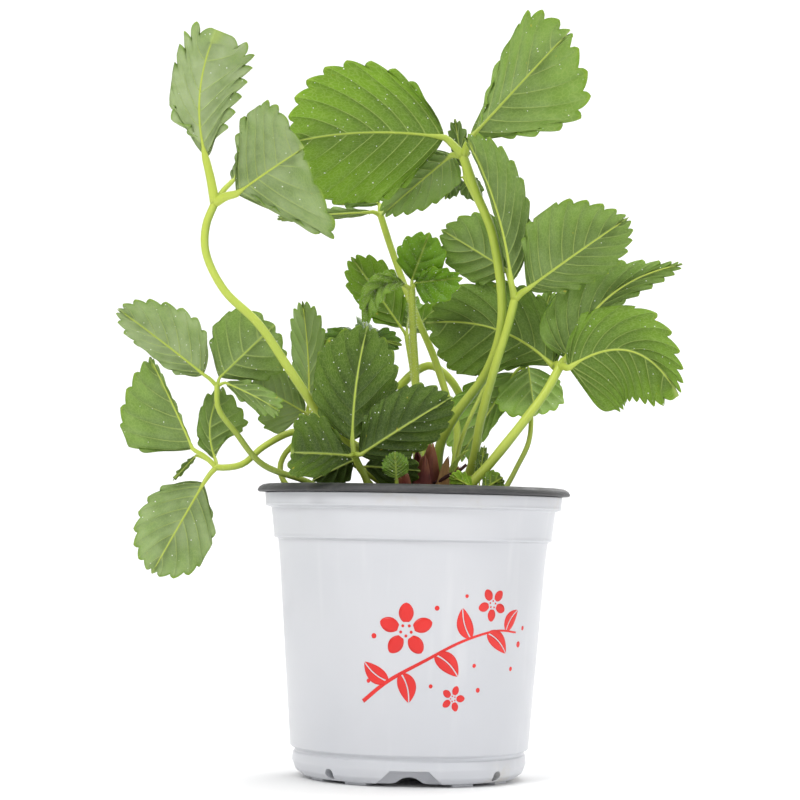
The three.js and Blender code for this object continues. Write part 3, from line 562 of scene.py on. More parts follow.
# And columns, from the midrib to the margin
COLUMNS = np.array([0, 0.014, 0.035, 0.07, 0.12, 0.19, 0.28, 0.38, 0.49, 0.6, 0.7, 0.79, 0.87, 0.93,
                    0.975, 1])
RIB_PLACES = np.array([0.04, 0.12, 0.22, 0.34, 0.46, 0.58, 0.7, 0.8, 0.89, 0.96])


def tooth_count(length):
    """Teeth to a side where the blade doesn't say: longer leaflets have more teeth and wider ones."""
    least, most = TOOTH_COUNTS
    return int(np.clip(round(length / (TOOTH_WIDTH + TOOTH_GROWTH * length)), least, most))


class Rows:
    """A leaflet's rows of points, from base to tip, and how each one's tooth stands."""

    def __init__(self, teeth, depth, lag):
        steps = ROW_STEPS if teeth > FEW_TEETH else ROW_STEPS[::2]
        self.number = np.concatenate([BASE_ROWS, *(k + steps for k in range(1, teeth)), teeth + TIP_ROWS])
        self.toothless = self.number < 1
        self.phase = self.number % 1
        self.last = np.clip((self.number - teeth) / 0.5, 0, 1)
        toothed = ENTIRE + (math.pi - ENTIRE) * (self.number - 1) / (teeth - 0.5)
        self.place = np.clip(np.where(self.toothless, ENTIRE * self.number, toothed), 0, math.pi)
        far = 0.5 - 0.5 * np.cos(self.place)
        behind = lag * (1 - np.exp(-(far / 0.25) ** 1.6)) * (1 - far ** 20)
        self.rib_x = 0.97 * np.clip(far - behind, 0, 1)
        self.rise = self.teeth_rise(teeth)
        self.proud = depth * self.rise
        self.ahead = TOOTH_LEAN * self.proud * (1 - self.last)

    def teeth_rise(self, teeth):
        """How much of its full height each row's tooth has."""
        quarter = math.pi / 2
        before = np.clip(self.phase / TOOTH_TIP, 0, 1)
        after = np.clip((self.phase - TOOTH_TIP) / (1 - TOOTH_TIP), 0, 1)
        rounded = np.where(after > 0, np.cos(after * quarter) ** 0.7, np.sin(before * quarter) ** 0.8)
        pointed = np.where(after > 0, (1 - after) ** 2, before ** 2)
        rise = blend(rounded, pointed, SHARP_TEETH)
        rise = np.where(self.number >= teeth, np.sin(self.last * quarter) ** 0.8, rise)
        return np.where(self.toothless, 0, rise) * smooth((self.number - 0.7) / 1.2)


def half_leaflet(sheet, rows, part, look, swell):
    """One half's upper and lower points, its marks, and its places among the veins."""
    edge_x, edge_out, move_x, move_out = sheet.edge(rows.place, part, rows.proud, rows.ahead)
    r = COLUMNS[None, :]
    near_edge = smooth((r - 0.68) / 0.32)
    x = rows.rib_x[:, None] + (edge_x - rows.rib_x)[:, None] * r ** 1.18 + move_x[:, None] * near_edge
    reach = np.clip(edge_out[:, None] * (1 - (1 - r) ** 1.12) + move_out[:, None] * near_edge, 0, None)
    point, face = sheet.at(x, reach, part)

    spacing = np.linalg.norm(np.gradient(point, rows.number, axis=0), axis=-1)
    past_vein = (rows.phase - np.where(rows.toothless, BASE_VEIN, TOOTH_TIP))[:, None]
    vein = np.exp(-(np.abs(past_vein) * spacing / blend(0.55, 0.26, r)) ** 2)
    vein = vein * blend(1, 0.45, smooth((r - 0.4) / 0.6))
    vein = vein * (1 - rows.last[:, None]) * smooth(reach / 0.9)
    pillow = look.get("pillow", PILLOW)
    puff = pillow * np.sin(math.pi * (past_vein % 1)) ** 0.8
    puff = puff * smooth(r / 0.2) * (1 - 0.8 * smooth((r - 0.7) / 0.3)) * np.clip(spacing / 5, 0, 1)
    wave = 0.5 * np.sin(x * 7 + swell[part]) * np.sin(r * 5 + swell[2 + part]) * smooth(r / 0.4)
    lift = (puff + wave * min(1, sheet.length / USUAL_LENGTH))[..., None]
    thick = (BLADE_THICK / 2 * np.where(COLUMNS > 0.95, 0.45, 1))[None, :, None]
    above = point + face * (lift + thick - 0.12 * vein[..., None])
    below = point + face * (lift - thick - VEIN_HEIGHT * vein[..., None])

    # painted shading: the tone is lighter where the blade puffs up and darker just past each vein
    pleat_painted_shade = puff / pillow + past_vein % 1 - 1
    rim = smooth((r - 0.9) / 0.1)
    # the tone mark also carries painted shading: darker in the middle of the leaflet, lighter towards its
    # margin
    marks = np.stack(np.broadcast_arrays(
        np.maximum(look.get("vein", VEIN) * vein, np.exp(-(reach / 0.7) ** 2)),
        look["tone"] + PAINTED_EDGE_SHADING * (smooth((r - 0.2) / 0.8) - 0.4) + PAINTED_PLEAT_SHADING * pleat_painted_shade,
        look["silver"] * (1 - 0.8 * rim),
        rim * rows.rise[:, None]), axis=-1)
    uv = np.stack(np.broadcast_arrays(rows.number[:, None] + 20 * part, r * 3), axis=-1)
    return above, below, marks, uv


def close_margin(skin, rows, columns):
    """Faces between the upper and lower points that were added last, along both margins."""
    total = rows * columns
    start = skin.count - 2 * total
    for i in range(rows - 1):
        for j, turned in ((0, False), (columns - 1, True)):
            a, b = start + i * columns + j, start + (i + 1) * columns + j
            quad = [a, b, b + total, a + total]
            skin.faces.append(quad[::-1] if turned else quad)
            skin.finish.append(UNDER)


def midrib(skin, sheet, node, head_radius, look):
    """The short stalk from the leaf's node, and the midrib that it runs on as."""
    up = sheet.frame(RIB_PLACES)[1]
    size = np.clip(sheet.length / USUAL_LENGTH, *RIB_SIZES)
    radii = blend(*RIB_RADII, RIB_PLACES ** 0.7) * size
    rib = sheet.rib(RIB_PLACES) - up * (0.35 * radii[:, None] + 0.1)
    short = look.get("short", SHORT_STALK * head_radius) * size ** 0.5
    node = np.array(node, float)
    reach = np.linalg.norm(sheet.base - node)
    knee = node + (sheet.base - node) * 0.5 + np.array([0, 0, 0.06 * reach])
    path = centripetal(np.vstack([node, knee, sheet.base - up[0] * 0.3, rib]), SHORT_STALK_RINGS)
    joint = reach / (reach + sheet.length)
    radii = np.interp(np.linspace(0, 1, len(path)),
                      [0, joint, *(joint + RIB_PLACES[1:] * (1 - joint)), 1],
                      [short * NODE_SPREAD, short, *radii[1:], RIB_END])
    points, faces = tube(path, radii, SHORT_STALK_SIDES)
    # the first mark, 0.6, gives the short stalk an even painted light all round
    skin.add(points, faces, STALK, (0.6, look.get("stem", LIME_STALK), 0, 0), growth=(look.get("hair", 0), 0))


def leaflet(skin, node, head_radius, spec, look):
    """One leaflet: both faces with their veins and teeth, closed at the margin, and its midrib and stalk."""
    look = {**look, **{key: spec[key] for key in BLADE_LOOKS if key in spec}}
    sheet = Sheet(**spec)
    teeth = spec.get("teeth", tooth_count(sheet.length))
    depth = spec.get("tooth", TOOTH_HEIGHT * sheet.length / teeth)
    rows = Rows(teeth, depth, spec.get("lag", VEIN_LAG))
    seed = int(abs(sheet.base[0] * 31 + sheet.base[2] * 17)) + 7
    swell = np.random.default_rng(seed).uniform(0, 2 * math.pi, 4)
    halves = [half_leaflet(sheet, rows, part, look, swell) for part in (0, 1)]
    above, below, marks, uv = (np.concatenate([left[:, :0:-1], right], axis=1)
                               for right, left in zip(*halves))
    for points, right, left in zip((above, below), *halves):
        points[:, len(COLUMNS) - 1] = (right[:, 0] + left[:, 0]) / 2
    quads = grid_faces(*above.shape[:2])
    told = (marks.reshape(-1, 4), uv.reshape(-1, 2), (look.get("down", 0), look["dew"]))
    skin.add(above, quads, UPPER, *told)
    skin.add(below, [face[::-1] for face in quads], UNDER, *told)
    close_margin(skin, *above.shape[:2])
    midrib(skin, sheet, node, head_radius, look)


# ---------------------------------------------------------------- the pot, its liner and the soil
TAPER = [[60.6, 15.7], [67.7, 109.2]]       # the plain wall between the foot ring and the collars
WALL = [
    [0, 8], [49, 8], [50, 1.5], [55, 1.5], [58.5, 4.5], [59.5, 8.5], [59.1, 12.6], [58.2, 13.2],
    [58.4, 14.6], *TAPER, [68.9, 120.3], [70.6, 120.8], [71.1, 121.4], [70.9, 122.4], [72.6, 136.1],
    [75.2, 136.8], [75.7, 137.5], [75.5, 138.4], [76, 143.5],
    [74.5, 143.5], [73.6, 138.6], [71, 137], [69.2, 122.8], [67.2, 121], [66.2, 109.2], [57.2, 10], [0, 10],
]
LINER = [
    [0, 10.3], [56.6, 10.3], [65.6, 109.2], [66.6, 121.5], [68.6, 123.4], [70.4, 137.5], [73, 139.1],
    [73.9, 143.8], [79.4, 143.8], [80, 144.8], [79, 146.4], [77, 147.6], [74.4, 148], [73, 147],
    [72.4, 143.6], [71.6, 140], [69.2, 138.4], [67.4, 124.2], [65.4, 122.3], [64.4, 109.2],
    [55.4, 11.5], [0, 11.5],
]
SOIL_SIDE = [[0, 11.9], [54.8, 11.9], [63.8, 109.2], [64.8, 122.6], [66.8, 124.7], [67.8, 133], [62, 135.4]]
SOIL_TOP = [[0, 137.4], [26, 136.8], [46, 136], [62, 135.4]]
SOIL_LUMP = 1.6
LUMPS = {"above": 135, "within": 63, "ease": 6}       # where the soil's surface is lumpy
ROUND_SIDES = 180
SHARP_ANGLE = 40                  # degrees past which an edge of the pot isn't smoothed
FOOT_RADIUS = 59.5
FOOT_PADS = (-30, 30)             # degrees from the middle of each wide notch
PAD = {"from": 46, "to": 53, "half": 6, "top": 8.4, "edge": 0.5}
CENTRE_PAD = 11.0
NOTCH = {"low": 18.5, "high": 9.5, "bottom": -0.6, "top": 8.4, "reach": 10}
SMALL_NOTCH = {"radius": 2.6, "height": 5, "turn": 47.7}
DRAIN = {"radius": 4.5, "out": 30, "low": 5, "high": 14}
CRUMBS = 7.0                      # loose crumbs on a square centimetre of soil


def eased(profile, radius):
    """A profile with each corner rounded, by no more than a third of the shorter side beside it."""
    p = np.asarray(profile, float)
    made = [p[0]]
    for before, corner, after in zip(p, p[1:], p[2:]):
        a, b = before - corner, after - corner
        cut = min(radius, np.linalg.norm(a) / 3, np.linalg.norm(b) / 3)
        start, end = corner + unit(a) * cut, corner + unit(b) * cut
        for t in (0, 0.25, 0.5, 0.75, 1):
            made.append((1 - t) ** 2 * start + 2 * t * (1 - t) * corner + t * t * end)
    return np.array([*made, p[-1]])


def turned(skin, profile, radius=0.7, finish=0, sides=ROUND_SIDES):
    """A closed body turned on the Z axis from [radius, height] pairs that go round its section."""
    rings = eased(profile, radius)
    angle = np.linspace(0, 2 * math.pi, sides, endpoint=False)
    points = np.stack([rings[:, :1] * np.cos(angle), rings[:, :1] * np.sin(angle),
                       np.repeat(rings[:, 1:], sides, axis=1)], axis=-1)
    skin.add(points, grid_faces(len(rings), sides, around=True), finish)


def prism(skin, outline, low, high, place):
    """A closed body from a flat outline: place(across, along, depth) puts each of its points."""
    number = len(outline)
    points = [place(a, b, low) for a, b in outline] + [place(a, b, high) for a, b in outline]
    faces = [list(range(number))[::-1], list(range(number, 2 * number))]
    faces += [[k, (k + 1) % number, (k + 1) % number + number, k + number] for k in range(number)]
    skin.add(points, faces)


def circle(radius, number=24, middle=(0, 0)):
    turn = np.linspace(0, 2 * math.pi, number, endpoint=False)
    return [(middle[0] + radius * math.cos(t), middle[1] + radius * math.sin(t)) for t in turn]


def around_foot(degrees):
    """Places a point on a side of the foot: mm sideways, its height, and mm out from the axis."""
    out, side = facing(degrees - 90)
    return lambda across, height, depth: out * depth + side * across + np.array([0, 0, height])


def level(across, along, depth):
    return np.array([across, along, depth])


def cutters():
    skin = Skin()
    wide = [(-NOTCH["low"], NOTCH["bottom"]), (NOTCH["low"], NOTCH["bottom"]),
            (NOTCH["high"], NOTCH["top"]), (-NOTCH["high"], NOTCH["top"])]
    low, high = FOOT_RADIUS - NOTCH["reach"], FOOT_RADIUS + NOTCH["reach"]
    for quarter in range(4):
        prism(skin, wide, low, high, around_foot(90 * quarter))
        small = circle(SMALL_NOTCH["radius"], middle=(0, SMALL_NOTCH["height"]))
        prism(skin, small, low, high, around_foot(90 * quarter + SMALL_NOTCH["turn"]))
        drain = circle(DRAIN["radius"], middle=DRAIN["out"] * facing(90 * quarter)[0])
        prism(skin, drain, DRAIN["low"], DRAIN["high"], level)
    return skin


def build_wall(paint):
    skin = Skin()
    turned(skin, WALL)
    made = skin.piece("pot_wall_moulded", [paint])
    cut = cutters().piece("foot_cutters", [paint])
    facing_out(cut)
    taken = made.modifiers.new("notches", "BOOLEAN")
    taken.operation, taken.solver, taken.object = "DIFFERENCE", "EXACT", cut
    plain(made)
    bpy.data.objects.remove(cut)
    return made


def build_pads(paint):
    skin = Skin()
    prism(skin, circle(CENTRE_PAD, 48), 0, PAD["top"], level)
    foot = [(PAD["half"], 0), (PAD["half"], PAD["top"]), (-PAD["half"], PAD["top"]), (-PAD["half"], 0)]
    for quarter in range(4):
        for turn in FOOT_PADS:
            prism(skin, foot, PAD["from"], PAD["to"], around_foot(90 * quarter + turn))
    made = skin.piece("pot_foot_pads", [paint])
    facing_out(made)
    edge = made.modifiers.new("edges", "BEVEL")
    edge.width, edge.segments = PAD["edge"] * MM, 2
    return plain(made)


def build_liner(paint):
    skin = Skin()
    turned(skin, LINER, 0.5)
    return skin.piece("pot_liner_moulded", [paint])


def soil_height(x, y):
    rough = 0.5 * np.sin(0.9 * x + 2.1 * np.sin(0.35 * y)) * np.sin(0.8 * y + 1.3 * np.sin(0.4 * x))
    return SOIL_LUMP * np.sin(0.21 * x + 1) * np.cos(0.17 * y + 0.05 * x) + rough


def build_soil(paint):
    skin = Skin()
    radii = np.arange(60, -1, -2)
    top = np.stack([radii, np.interp(radii, *np.array(SOIL_TOP).T)], axis=-1)
    turned(skin, np.vstack([SOIL_SIDE, top]), 0.5)
    made = skin.piece("soil_bed", [paint])
    for corner in made.data.vertices:
        x, y, z = corner.co / MM
        inside = LUMPS["within"] - math.hypot(x, y)
        if z > LUMPS["above"] and inside > 0:
            corner.co.z += float(soil_height(x, y)) * MM * min(1, inside / LUMPS["ease"])
            made.data.attributes["hair"].data[corner.index].value = CRUMBS
    return made


# ---------------------------------------------------------------- the crown
CROWN_FOOT = (12, -15, 128)
CROWN_TOP = 152.0
CROWN_RADII = (6.5, 4.5)
CROWN_END = [0.92, 0.75, 0.3]               # how much narrower its last three rings are
SCALE_HALF_THICK = 0.16
# Scales round the crown: the foot in mm, the way each faces and how far it leans in degrees, its length, its
# half width, and how dry (0 .. 1) and how fresh (0 .. 1) it is
SCALES = [
    ((8, -21, 134), -85, 4, 36, 5.2, 0.3, 0), ((2.5, -22, 134), -108, 7, 32, 4.6, 0.25, 0),
    ((-3, -21, 136), -150, 38, 14, 3.6, 0.7, 0), ((-1, -23.5, 136), -120, 26, 13, 3.2, 0.55, 0),
    ((14, -21, 136), -62, 12, 28, 3.6, 0.8, 0), ((17.5, -20, 136), -40, 24, 18, 3, 0.95, 0),
    ((11, -23, 136), -80, 14, 15, 3, 0.9, 0), ((5.5, -24, 135), -95, 12, 20, 3.4, 0.4, 0),
    ((10, -9, 136), 90, 10, 24, 4.6, 0.4, 0), ((3, -12, 136), 140, 12, 26, 4.6, 0.35, 0),
    ((18, -11, 136), 40, 14, 24, 4.4, 0.5, 0), ((20, -16, 136), -5, 22, 20, 3.6, 0.85, 0),
    ((15.5, -17.5, 138), -25, 20, 33, 4.2, 0.1, 1), ((8, -12, 138), 100, 8, 34, 4.4, 0.1, 1),
    ((1, -16, 138), 175, 16, 24, 3.8, 0.3, 0.4), ((-5, -41, 134), -100, 10, 23, 4.2, 0.5, 0),
    ((4, -33, 134), -80, 6, 30, 4.6, 0.35, 0),
]
TWIG = [(10, -22, 149), (17.6, -24, 153.5), (22, -25, 155.5), (26, -25, 159)]


def papery_scale(skin, foot, turn, lean, length, half, dry, fresh, wild):
    """One scale of the crown: a thin curled sheet with a ragged, pointed end."""
    out, side = facing(turn)
    rows, columns = 18, 11
    up = np.linspace(0, 1, rows)[:, None]
    across = np.linspace(-1, 1, columns)[None, :]
    belly = 0.8 + 0.5 * np.sin(np.minimum(up * 4, 1.6))
    shape = (1 - 0.35 * up) * np.sqrt(np.clip(1 - up ** 2.6, 0.012, 1)) * belly
    tilt = math.radians(lean) * (0.3 + 1.2 * up ** 1.5)
    ragged = wild.uniform(-0.09, 0.03, (1, columns)) * smooth((up - 0.45) * 2) * (1 - fresh)
    along = length * (up + ragged * (1 - across ** 2 * 0.3))
    wave = 0.3 * np.sin(across * 4 + turn) * up + wild.uniform(-0.1, 0.1, (rows, columns))
    wave = wave * (1 - 0.6 * fresh)
    away = along * np.sin(tilt) * 0.8 - (across * half * 0.6) ** 2 / 7 + wave
    rise = along * np.cos(tilt)
    points = (np.array(foot, float) + out * away[..., None] + side * (across * shape * half)[..., None]
              + np.array([0, 0, 1]) * rise[..., None])
    dryness = np.clip(dry + 0.35 * (up - 0.4) + 0.15 * np.abs(across) + wild.uniform(-0.1, 0.1), 0, 1)
    streak = np.broadcast_to(np.abs(np.sin(across * 7 + turn)), (rows, columns))
    marks = np.stack([streak, dryness, fresh + 0 * streak, 0 * streak], axis=-1).reshape(-1, 4)
    closed_sheet(skin, points + SCALE_HALF_THICK * out, points - SCALE_HALF_THICK * out, marks)


def closed_sheet(skin, outer, inner, marks=(0, 0, 0, 0)):
    """A thin body between two grids of points, the outer one's faces looking to (columns) x (rows)."""
    rows, columns = outer.shape[:2]
    quads = grid_faces(rows, columns)
    skin.add(outer, quads, 0, marks)
    skin.add(inner, [face[::-1] for face in quads], 0, marks)
    total = rows * columns
    start = skin.count - 2 * total
    ring = ([(0, j) for j in range(columns)] + [(i, columns - 1) for i in range(1, rows)]
            + [(rows - 1, j) for j in range(columns - 2, -1, -1)] + [(i, 0) for i in range(rows - 2, 0, -1)])
    corners = [start + i * columns + j for i, j in ring]
    for a, b in zip(corners, corners[1:] + corners[:1]):
        skin.faces.append([b, a, a + total, b + total])
        skin.finish.append(0)


def build_crown(paint):
    skin = Skin()
    wild = np.random.default_rng(5)
    foot = np.array(CROWN_FOOT, float)
    rise = np.linspace(0, 1, 18)
    path = foot + np.outer(rise, [0.5, -0.5, CROWN_TOP - foot[2]]) + np.outer(np.sin(rise * 9), [0.3, 0.2, 0])
    radii = blend(*CROWN_RADII, rise) * (1 + 0.07 * np.sin(rise * 40))
    radii[-3:] *= CROWN_END
    points, faces = tube(path, radii, 20)
    skin.add(points, faces, 0, (0.4, 0.1, 0, 0))
    for scale in SCALES:
        papery_scale(skin, *scale, wild)
    points, faces = tube(centripetal(TWIG, 12), np.linspace(1.1, 0.8, 12), 10)
    skin.add(points, faces, 0, (0.8, -0.4, 0, 0))
    return skin.piece("crown_and_scales", [paint])


# ---------------------------------------------------------------- the print on the wall
PRINT_PROUD = 0.1
PRINT_SUNK = 0.25
PRINT_RADIUS = 66.0               # where its widths are counted
LEAST_HALF = 0.05                 # of a printed leaf or petal at its point
# The stem of the spray: mm round the wall from its front, and height
SPRAY = [(-25, 42), (-12, 52), (6, 62), (26, 72), (46, 77), (60, 76)]
# Leaves of the spray: foot, tip, half width
SPRAY_LEAVES = [
    ((-12, 52), (-24, 61), 4.0), ((-5, 56), (-1, 42), 4.4), ((12, 65.5), (24, 55), 4.4),
    ((30, 73.5), (25, 88), 4.0), ((40, 76), (53, 66), 4.0), ((52, 77), (60, 87), 3.4),
]
# Blossoms: middle, reach of a petal, turn in degrees
BLOSSOMS = [((-3, 77), 13.5, 18), ((42, 90), 8.5, 50), ((22, 44), 6.5, 0)]
DOTS = [
    ((-19, 74), 1.3), ((-22, 52), 1.0), ((12, 88), 1.2), ((33, 60), 1.0), ((63, 70), 1.5),
    ((58, 58), 1.1), ((10, 50), 1.0), ((36, 48), 1.2), ((27, 94), 0.9), ((66, 78), 1.1),
]


def on_wall(flat, proud):
    """Places [mm round the wall from its front, height] on the wall's outside."""
    radii, heights = zip(*TAPER)
    radius = np.interp(flat[..., 1], heights, radii) + proud
    angle = flat[..., 0] / PRINT_RADIUS
    return np.stack([radius * np.sin(angle), -radius * np.cos(angle), flat[..., 1]], axis=-1)


def printed_strip(skin, middle, half):
    """A thin strip of ink along a path, half mm wide to each side."""
    middle = np.asarray(middle, float)
    way = unit(np.gradient(middle, axis=0))
    side = np.stack([-way[:, 1], way[:, 0]], axis=-1)
    across = np.linspace(-1, 1, 5)
    flat = middle[:, None] - side[:, None] * (across[None, :, None] * np.asarray(half, float)[:, None, None])
    closed_sheet(skin, on_wall(flat, PRINT_PROUD), on_wall(flat, -PRINT_SUNK))


def flat_curve(points, number):
    return centripetal([(a, b, 0) for a, b in points], number)[:, :2]


def printed_leaf(skin, foot, tip, half, share):
    """Two halves with the bare line of a midrib between them."""
    foot, tip = np.array(foot, float), np.array(tip, float)
    way = unit(tip - foot)
    side = np.array([-way[1], way[0]])
    bow = np.sin(math.pi * share)[:, None] * side * 1.2
    line = foot + np.outer(share, tip - foot) + bow
    belly = half * (np.sin(math.pi * share ** 0.8) ** 0.8 + 0.02) * 0.5
    for hand in (1, -1):
        shift = side * hand * (belly + 0.22)[:, None]
        printed_strip(skin, line + shift, np.maximum(belly - 0.1, LEAST_HALF))


def printed_blossom(skin, middle, reach, turn, share):
    middle = np.array(middle, float)
    wide = reach * 0.27 * np.sin(math.pi * np.clip(share * 0.94 + 0.06, 0, 1)) ** 0.55
    for petal in range(5):
        way = facing(turn + 72 * petal)[0][:2]
        line = middle + np.outer(blend(0.3 * reach, reach, share), way)
        printed_strip(skin, line, np.maximum(wide, LEAST_HALF))
        beside = facing(turn + 72 * petal + 36)[0][:2]
        printed_dot(skin, middle + 0.2 * reach * beside, reach * 0.055)


def build_print(paint):
    skin = Skin()
    printed_strip(skin, flat_curve(SPRAY, 60), np.linspace(1.0, 0.45, 60))
    share = np.linspace(0, 1, 22)
    for spray_leaf in SPRAY_LEAVES:
        printed_leaf(skin, *spray_leaf, share)
    for blossom in BLOSSOMS:
        printed_blossom(skin, *blossom, share)
    for middle, radius in DOTS:
        printed_dot(skin, middle, radius)
    return skin.piece("red_print", [paint])


def printed_dot(skin, middle, radius):
    share = np.linspace(-1, 1, 11)
    line = np.stack([middle[0] + share * radius, middle[1] + 0 * share], axis=-1)
    printed_strip(skin, line, np.maximum(radius * np.sqrt(1 - share ** 2), 0.03))


# ---------------------------------------------------------------- finishes
def shade(red, green, blue):
    """A colour as the eye names it, 0 to 255, as the renderer counts it."""
    parts = [part / 255 for part in (red, green, blue)]
    return tuple(p / 12.92 if p < 0.04045 else ((p + 0.055) / 1.055) ** 2.4 for p in parts) + (1.0,)


class Wire:
    """A socket that can be added to, multiplied and so on, which adds Math nodes."""

    def __init__(self, paint, socket):
        self.paint, self.socket = paint, socket

    def maths(self, operation, *values):
        return self.paint.node("Math", {"operation": operation}, dict(enumerate(values)))

    def __add__(self, other):
        return self.maths("ADD", self, other)

    def __sub__(self, other):
        return self.maths("SUBTRACT", self, other)

    def __rsub__(self, other):
        return self.maths("SUBTRACT", other, self)

    def __mul__(self, other):
        return self.maths("MULTIPLY", self, other)

    def step(self, low, high):
        """0 up to low and 1 from high, smooth between them."""
        return self.paint.node("MapRange", {"interpolation_type": "SMOOTHSTEP"},
                               {"Value": self, "From Min": low, "From Max": high})

    __radd__ = __add__
    __rmul__ = __mul__


class Paint:
    """A material under the brush: one node method, and the few mixtures that its finishes need."""

    def __init__(self, name):
        self.made = bpy.data.materials.new(name)
        self.made.use_nodes = True
        self.tree = self.made.node_tree
        self.shader = self.tree.nodes["Principled BSDF"]

    def node(self, kind, settings=None, inputs=None, out=None):
        made = self.tree.nodes.new("ShaderNode" + kind)
        for name, value in (settings or {}).items():
            if name == "stops":
                self.set_stops(made.color_ramp.elements, value)
            else:
                setattr(made, name, value)
        for name, value in (inputs or {}).items():
            self.join(self.pick(made.inputs, name), value)
        return Wire(self, self.pick(made.outputs, out or 0))

    @staticmethod
    def pick(sockets, name):
        shown = [socket for socket in sockets if socket.enabled]
        return shown[name] if isinstance(name, int) else next(s for s in shown if s.name == name)

    @staticmethod
    def set_stops(elements, stops):
        while len(elements) < len(stops):
            elements.new(0.5)
        for element, (place, colour) in zip(elements, stops):
            element.position, element.color = place, colour

    def join(self, socket, value):
        if isinstance(value, Wire):
            self.tree.links.new(value.socket, socket)
        else:
            socket.default_value = value

    def mix(self, first, second, share):
        return self.node("Mix", {"data_type": "RGBA"}, {"Factor": share, "A": first, "B": second})

    def ramp(self, value, *stops):
        return self.node("ValToRGB", {"stops": stops}, {"Fac": value})

    def here(self):
        return self.node("TexCoord", out="Object")

    def height(self):
        return self.node("SeparateXYZ", {}, {"Vector": self.here()}, "Z")

    def place(self, scale):
        return self.node("Mapping", {}, {"Vector": self.here(), "Scale": scale})

    def noise(self, scale, detail, rough=0.55, vector=None):
        return self.node("TexNoise", {}, {"Vector": vector or self.here(), "Scale": scale,
                                          "Detail": detail, "Roughness": rough}, "Fac")

    def bump(self, height, distance, strength):
        return self.node("Bump", {}, {"Strength": strength, "Distance": distance, "Height": height})

    def marks(self):
        """The four marks that the piece's points carry."""
        colour = self.node("Attribute", {"attribute_name": "marks"}, out="Color")
        split = self.node("SeparateColor", {}, {"Color": colour}).socket.node
        return [Wire(self, socket) for socket in (*split.outputs, colour.socket.node.outputs["Alpha"])]

    def finish(self, **sockets):
        for name, value in sockets.items():
            self.join(self.shader.inputs[name.replace("_", " ")], value)
        return self.made


LEAF_SHEEN = 0.28


def leaf_finish(name, greens, silver, vein, gloss, under):
    """Greens are dark, middle and lime; the marks hold vein, tone, silver and tooth tip. The tone carries
    painted light and shade as well as the leaf's own green.
    """
    p = Paint(name)
    rib, tone, bloom, tip = p.marks()
    veins = p.node("Attribute", {"attribute_name": "veins"}, out="Vector")
    patches = p.noise(70, 3)
    fine = p.noise(900, 2)
    green = p.ramp(tone + (patches - 0.5) * 0.35, *zip((0.0, 0.5, 1.0), greens))
    green = p.mix(green, silver, bloom * (0.5 + 0.5 * patches.step(0.3, 0.7)))
    net_at = p.node("Mapping", {}, {"Vector": veins, "Scale": (5, 6, 1)})
    net = p.node("TexVoronoi", {"feature": "DISTANCE_TO_EDGE"}, {"Vector": net_at, "Scale": 1.0}, "Distance")
    net = 1 - net.step(0.0, 0.13)
    green = p.mix(green, vein, net * (0.1 + 0.16 * tone))
    green = p.mix(green, vein, rib.step(0.15, 0.95) * 0.8)
    green = p.mix(green, shade(150, 180, 44), tip.step(0.4, 1.0) * 0.4)
    green = p.mix(green, shade(204, 184, 60), p.noise(260, 1).step(0.76, 0.82) * 0.5)
    green = p.mix(green, shade(200, 215, 170), (fine - 0.5).step(0.0, 0.4) * 0.1)
    height = net * (0.35 if under else -0.35) + (fine - 0.5) * 0.5 + (patches - 0.5) * 0.4
    p.shader.inputs["Specular IOR Level"].default_value = LEAF_SHEEN
    return p.finish(Base_Color=green, Roughness=gloss + (fine - 0.5) * 0.15,
                    Normal=p.bump(height, 0.00025, 0.7))


def stalk_finish(name, pale, deep, low, red):
    """The marks hold how far a place faces the light, painted as a paler lit side and a darker shaded side,
    and how lime the stalk is.
    """
    p = Paint(name)
    painted_lit_side, lime = p.marks()[:2]
    patches = p.noise(45, 3)
    lines = p.noise(1.0, 2, vector=p.place((1400, 1400, 120)))
    # painted light: pale green on the lit side of the stalk, deep green on its shaded side
    green = p.mix(deep, pale, (painted_lit_side * 0.9 + lime * 0.35 + (patches - 0.6) * 0.5).step(0.0, 1.0))
    height = p.height()
    # painted shade: the less lime stalks are darker low down near the crown, under the leaves
    green = p.mix(green, low, (1 - height.step(0.15, 0.2)) * (1 - lime) * 0.9)
    green = p.mix(green, red, patches.step(0.62, 0.85) * (0.25 + (1 - height.step(0.15, 0.19)) * 0.5))
    green = p.mix(green, shade(215, 225, 150), lines.step(0.5, 0.9) * 0.2)
    return p.finish(Base_Color=green, Roughness=0.42 + (patches - 0.5) * 0.2,
                    Normal=p.bump(lines, 0.0002, 0.6))


STEP_SHADE_LINES = (0.1208, 0.137)     # heights of the steps under the two collars, in metres, each with a grey line of painted shade just under it


def white_plastic():
    p = Paint("white_pot_plastic")
    haze = p.noise(9, 3)
    grain = p.noise(1500, 2)
    streaks = p.noise(1.0, 3, vector=p.place((90, 90, 8)))
    dirt = p.noise(30, 5, 0.65)
    height = p.height()
    low = 1 - height.step(0.001, 0.014)
    rim = height.step(0.126, 0.141)
    colour = p.mix(shade(208, 209, 213), shade(201, 203, 208), haze.step(0.3, 0.7))
    for step in STEP_SHADE_LINES:
        # painted shade: a thin grey line just under each step
        line = height.step(step - 0.0012, step - 0.0004) * (1 - height.step(step, step + 0.0005))
        colour = p.mix(colour, shade(180, 181, 186), line * 0.5)
    colour = p.mix(colour, shade(196, 186, 160), dirt.step(0.56, 0.78) * (low * 0.75 + rim * 0.4 + 0.03))
    colour = p.mix(colour, shade(226, 226, 228), streaks.step(0.55, 0.8) * 0.25)
    return p.finish(Base_Color=colour, Roughness=0.32 + (haze - 0.5) * 0.15 + dirt.step(0.5, 0.8) * 0.2,
                    Normal=p.bump(grain * 0.3 + haze * 6, 0.00006, 0.5))


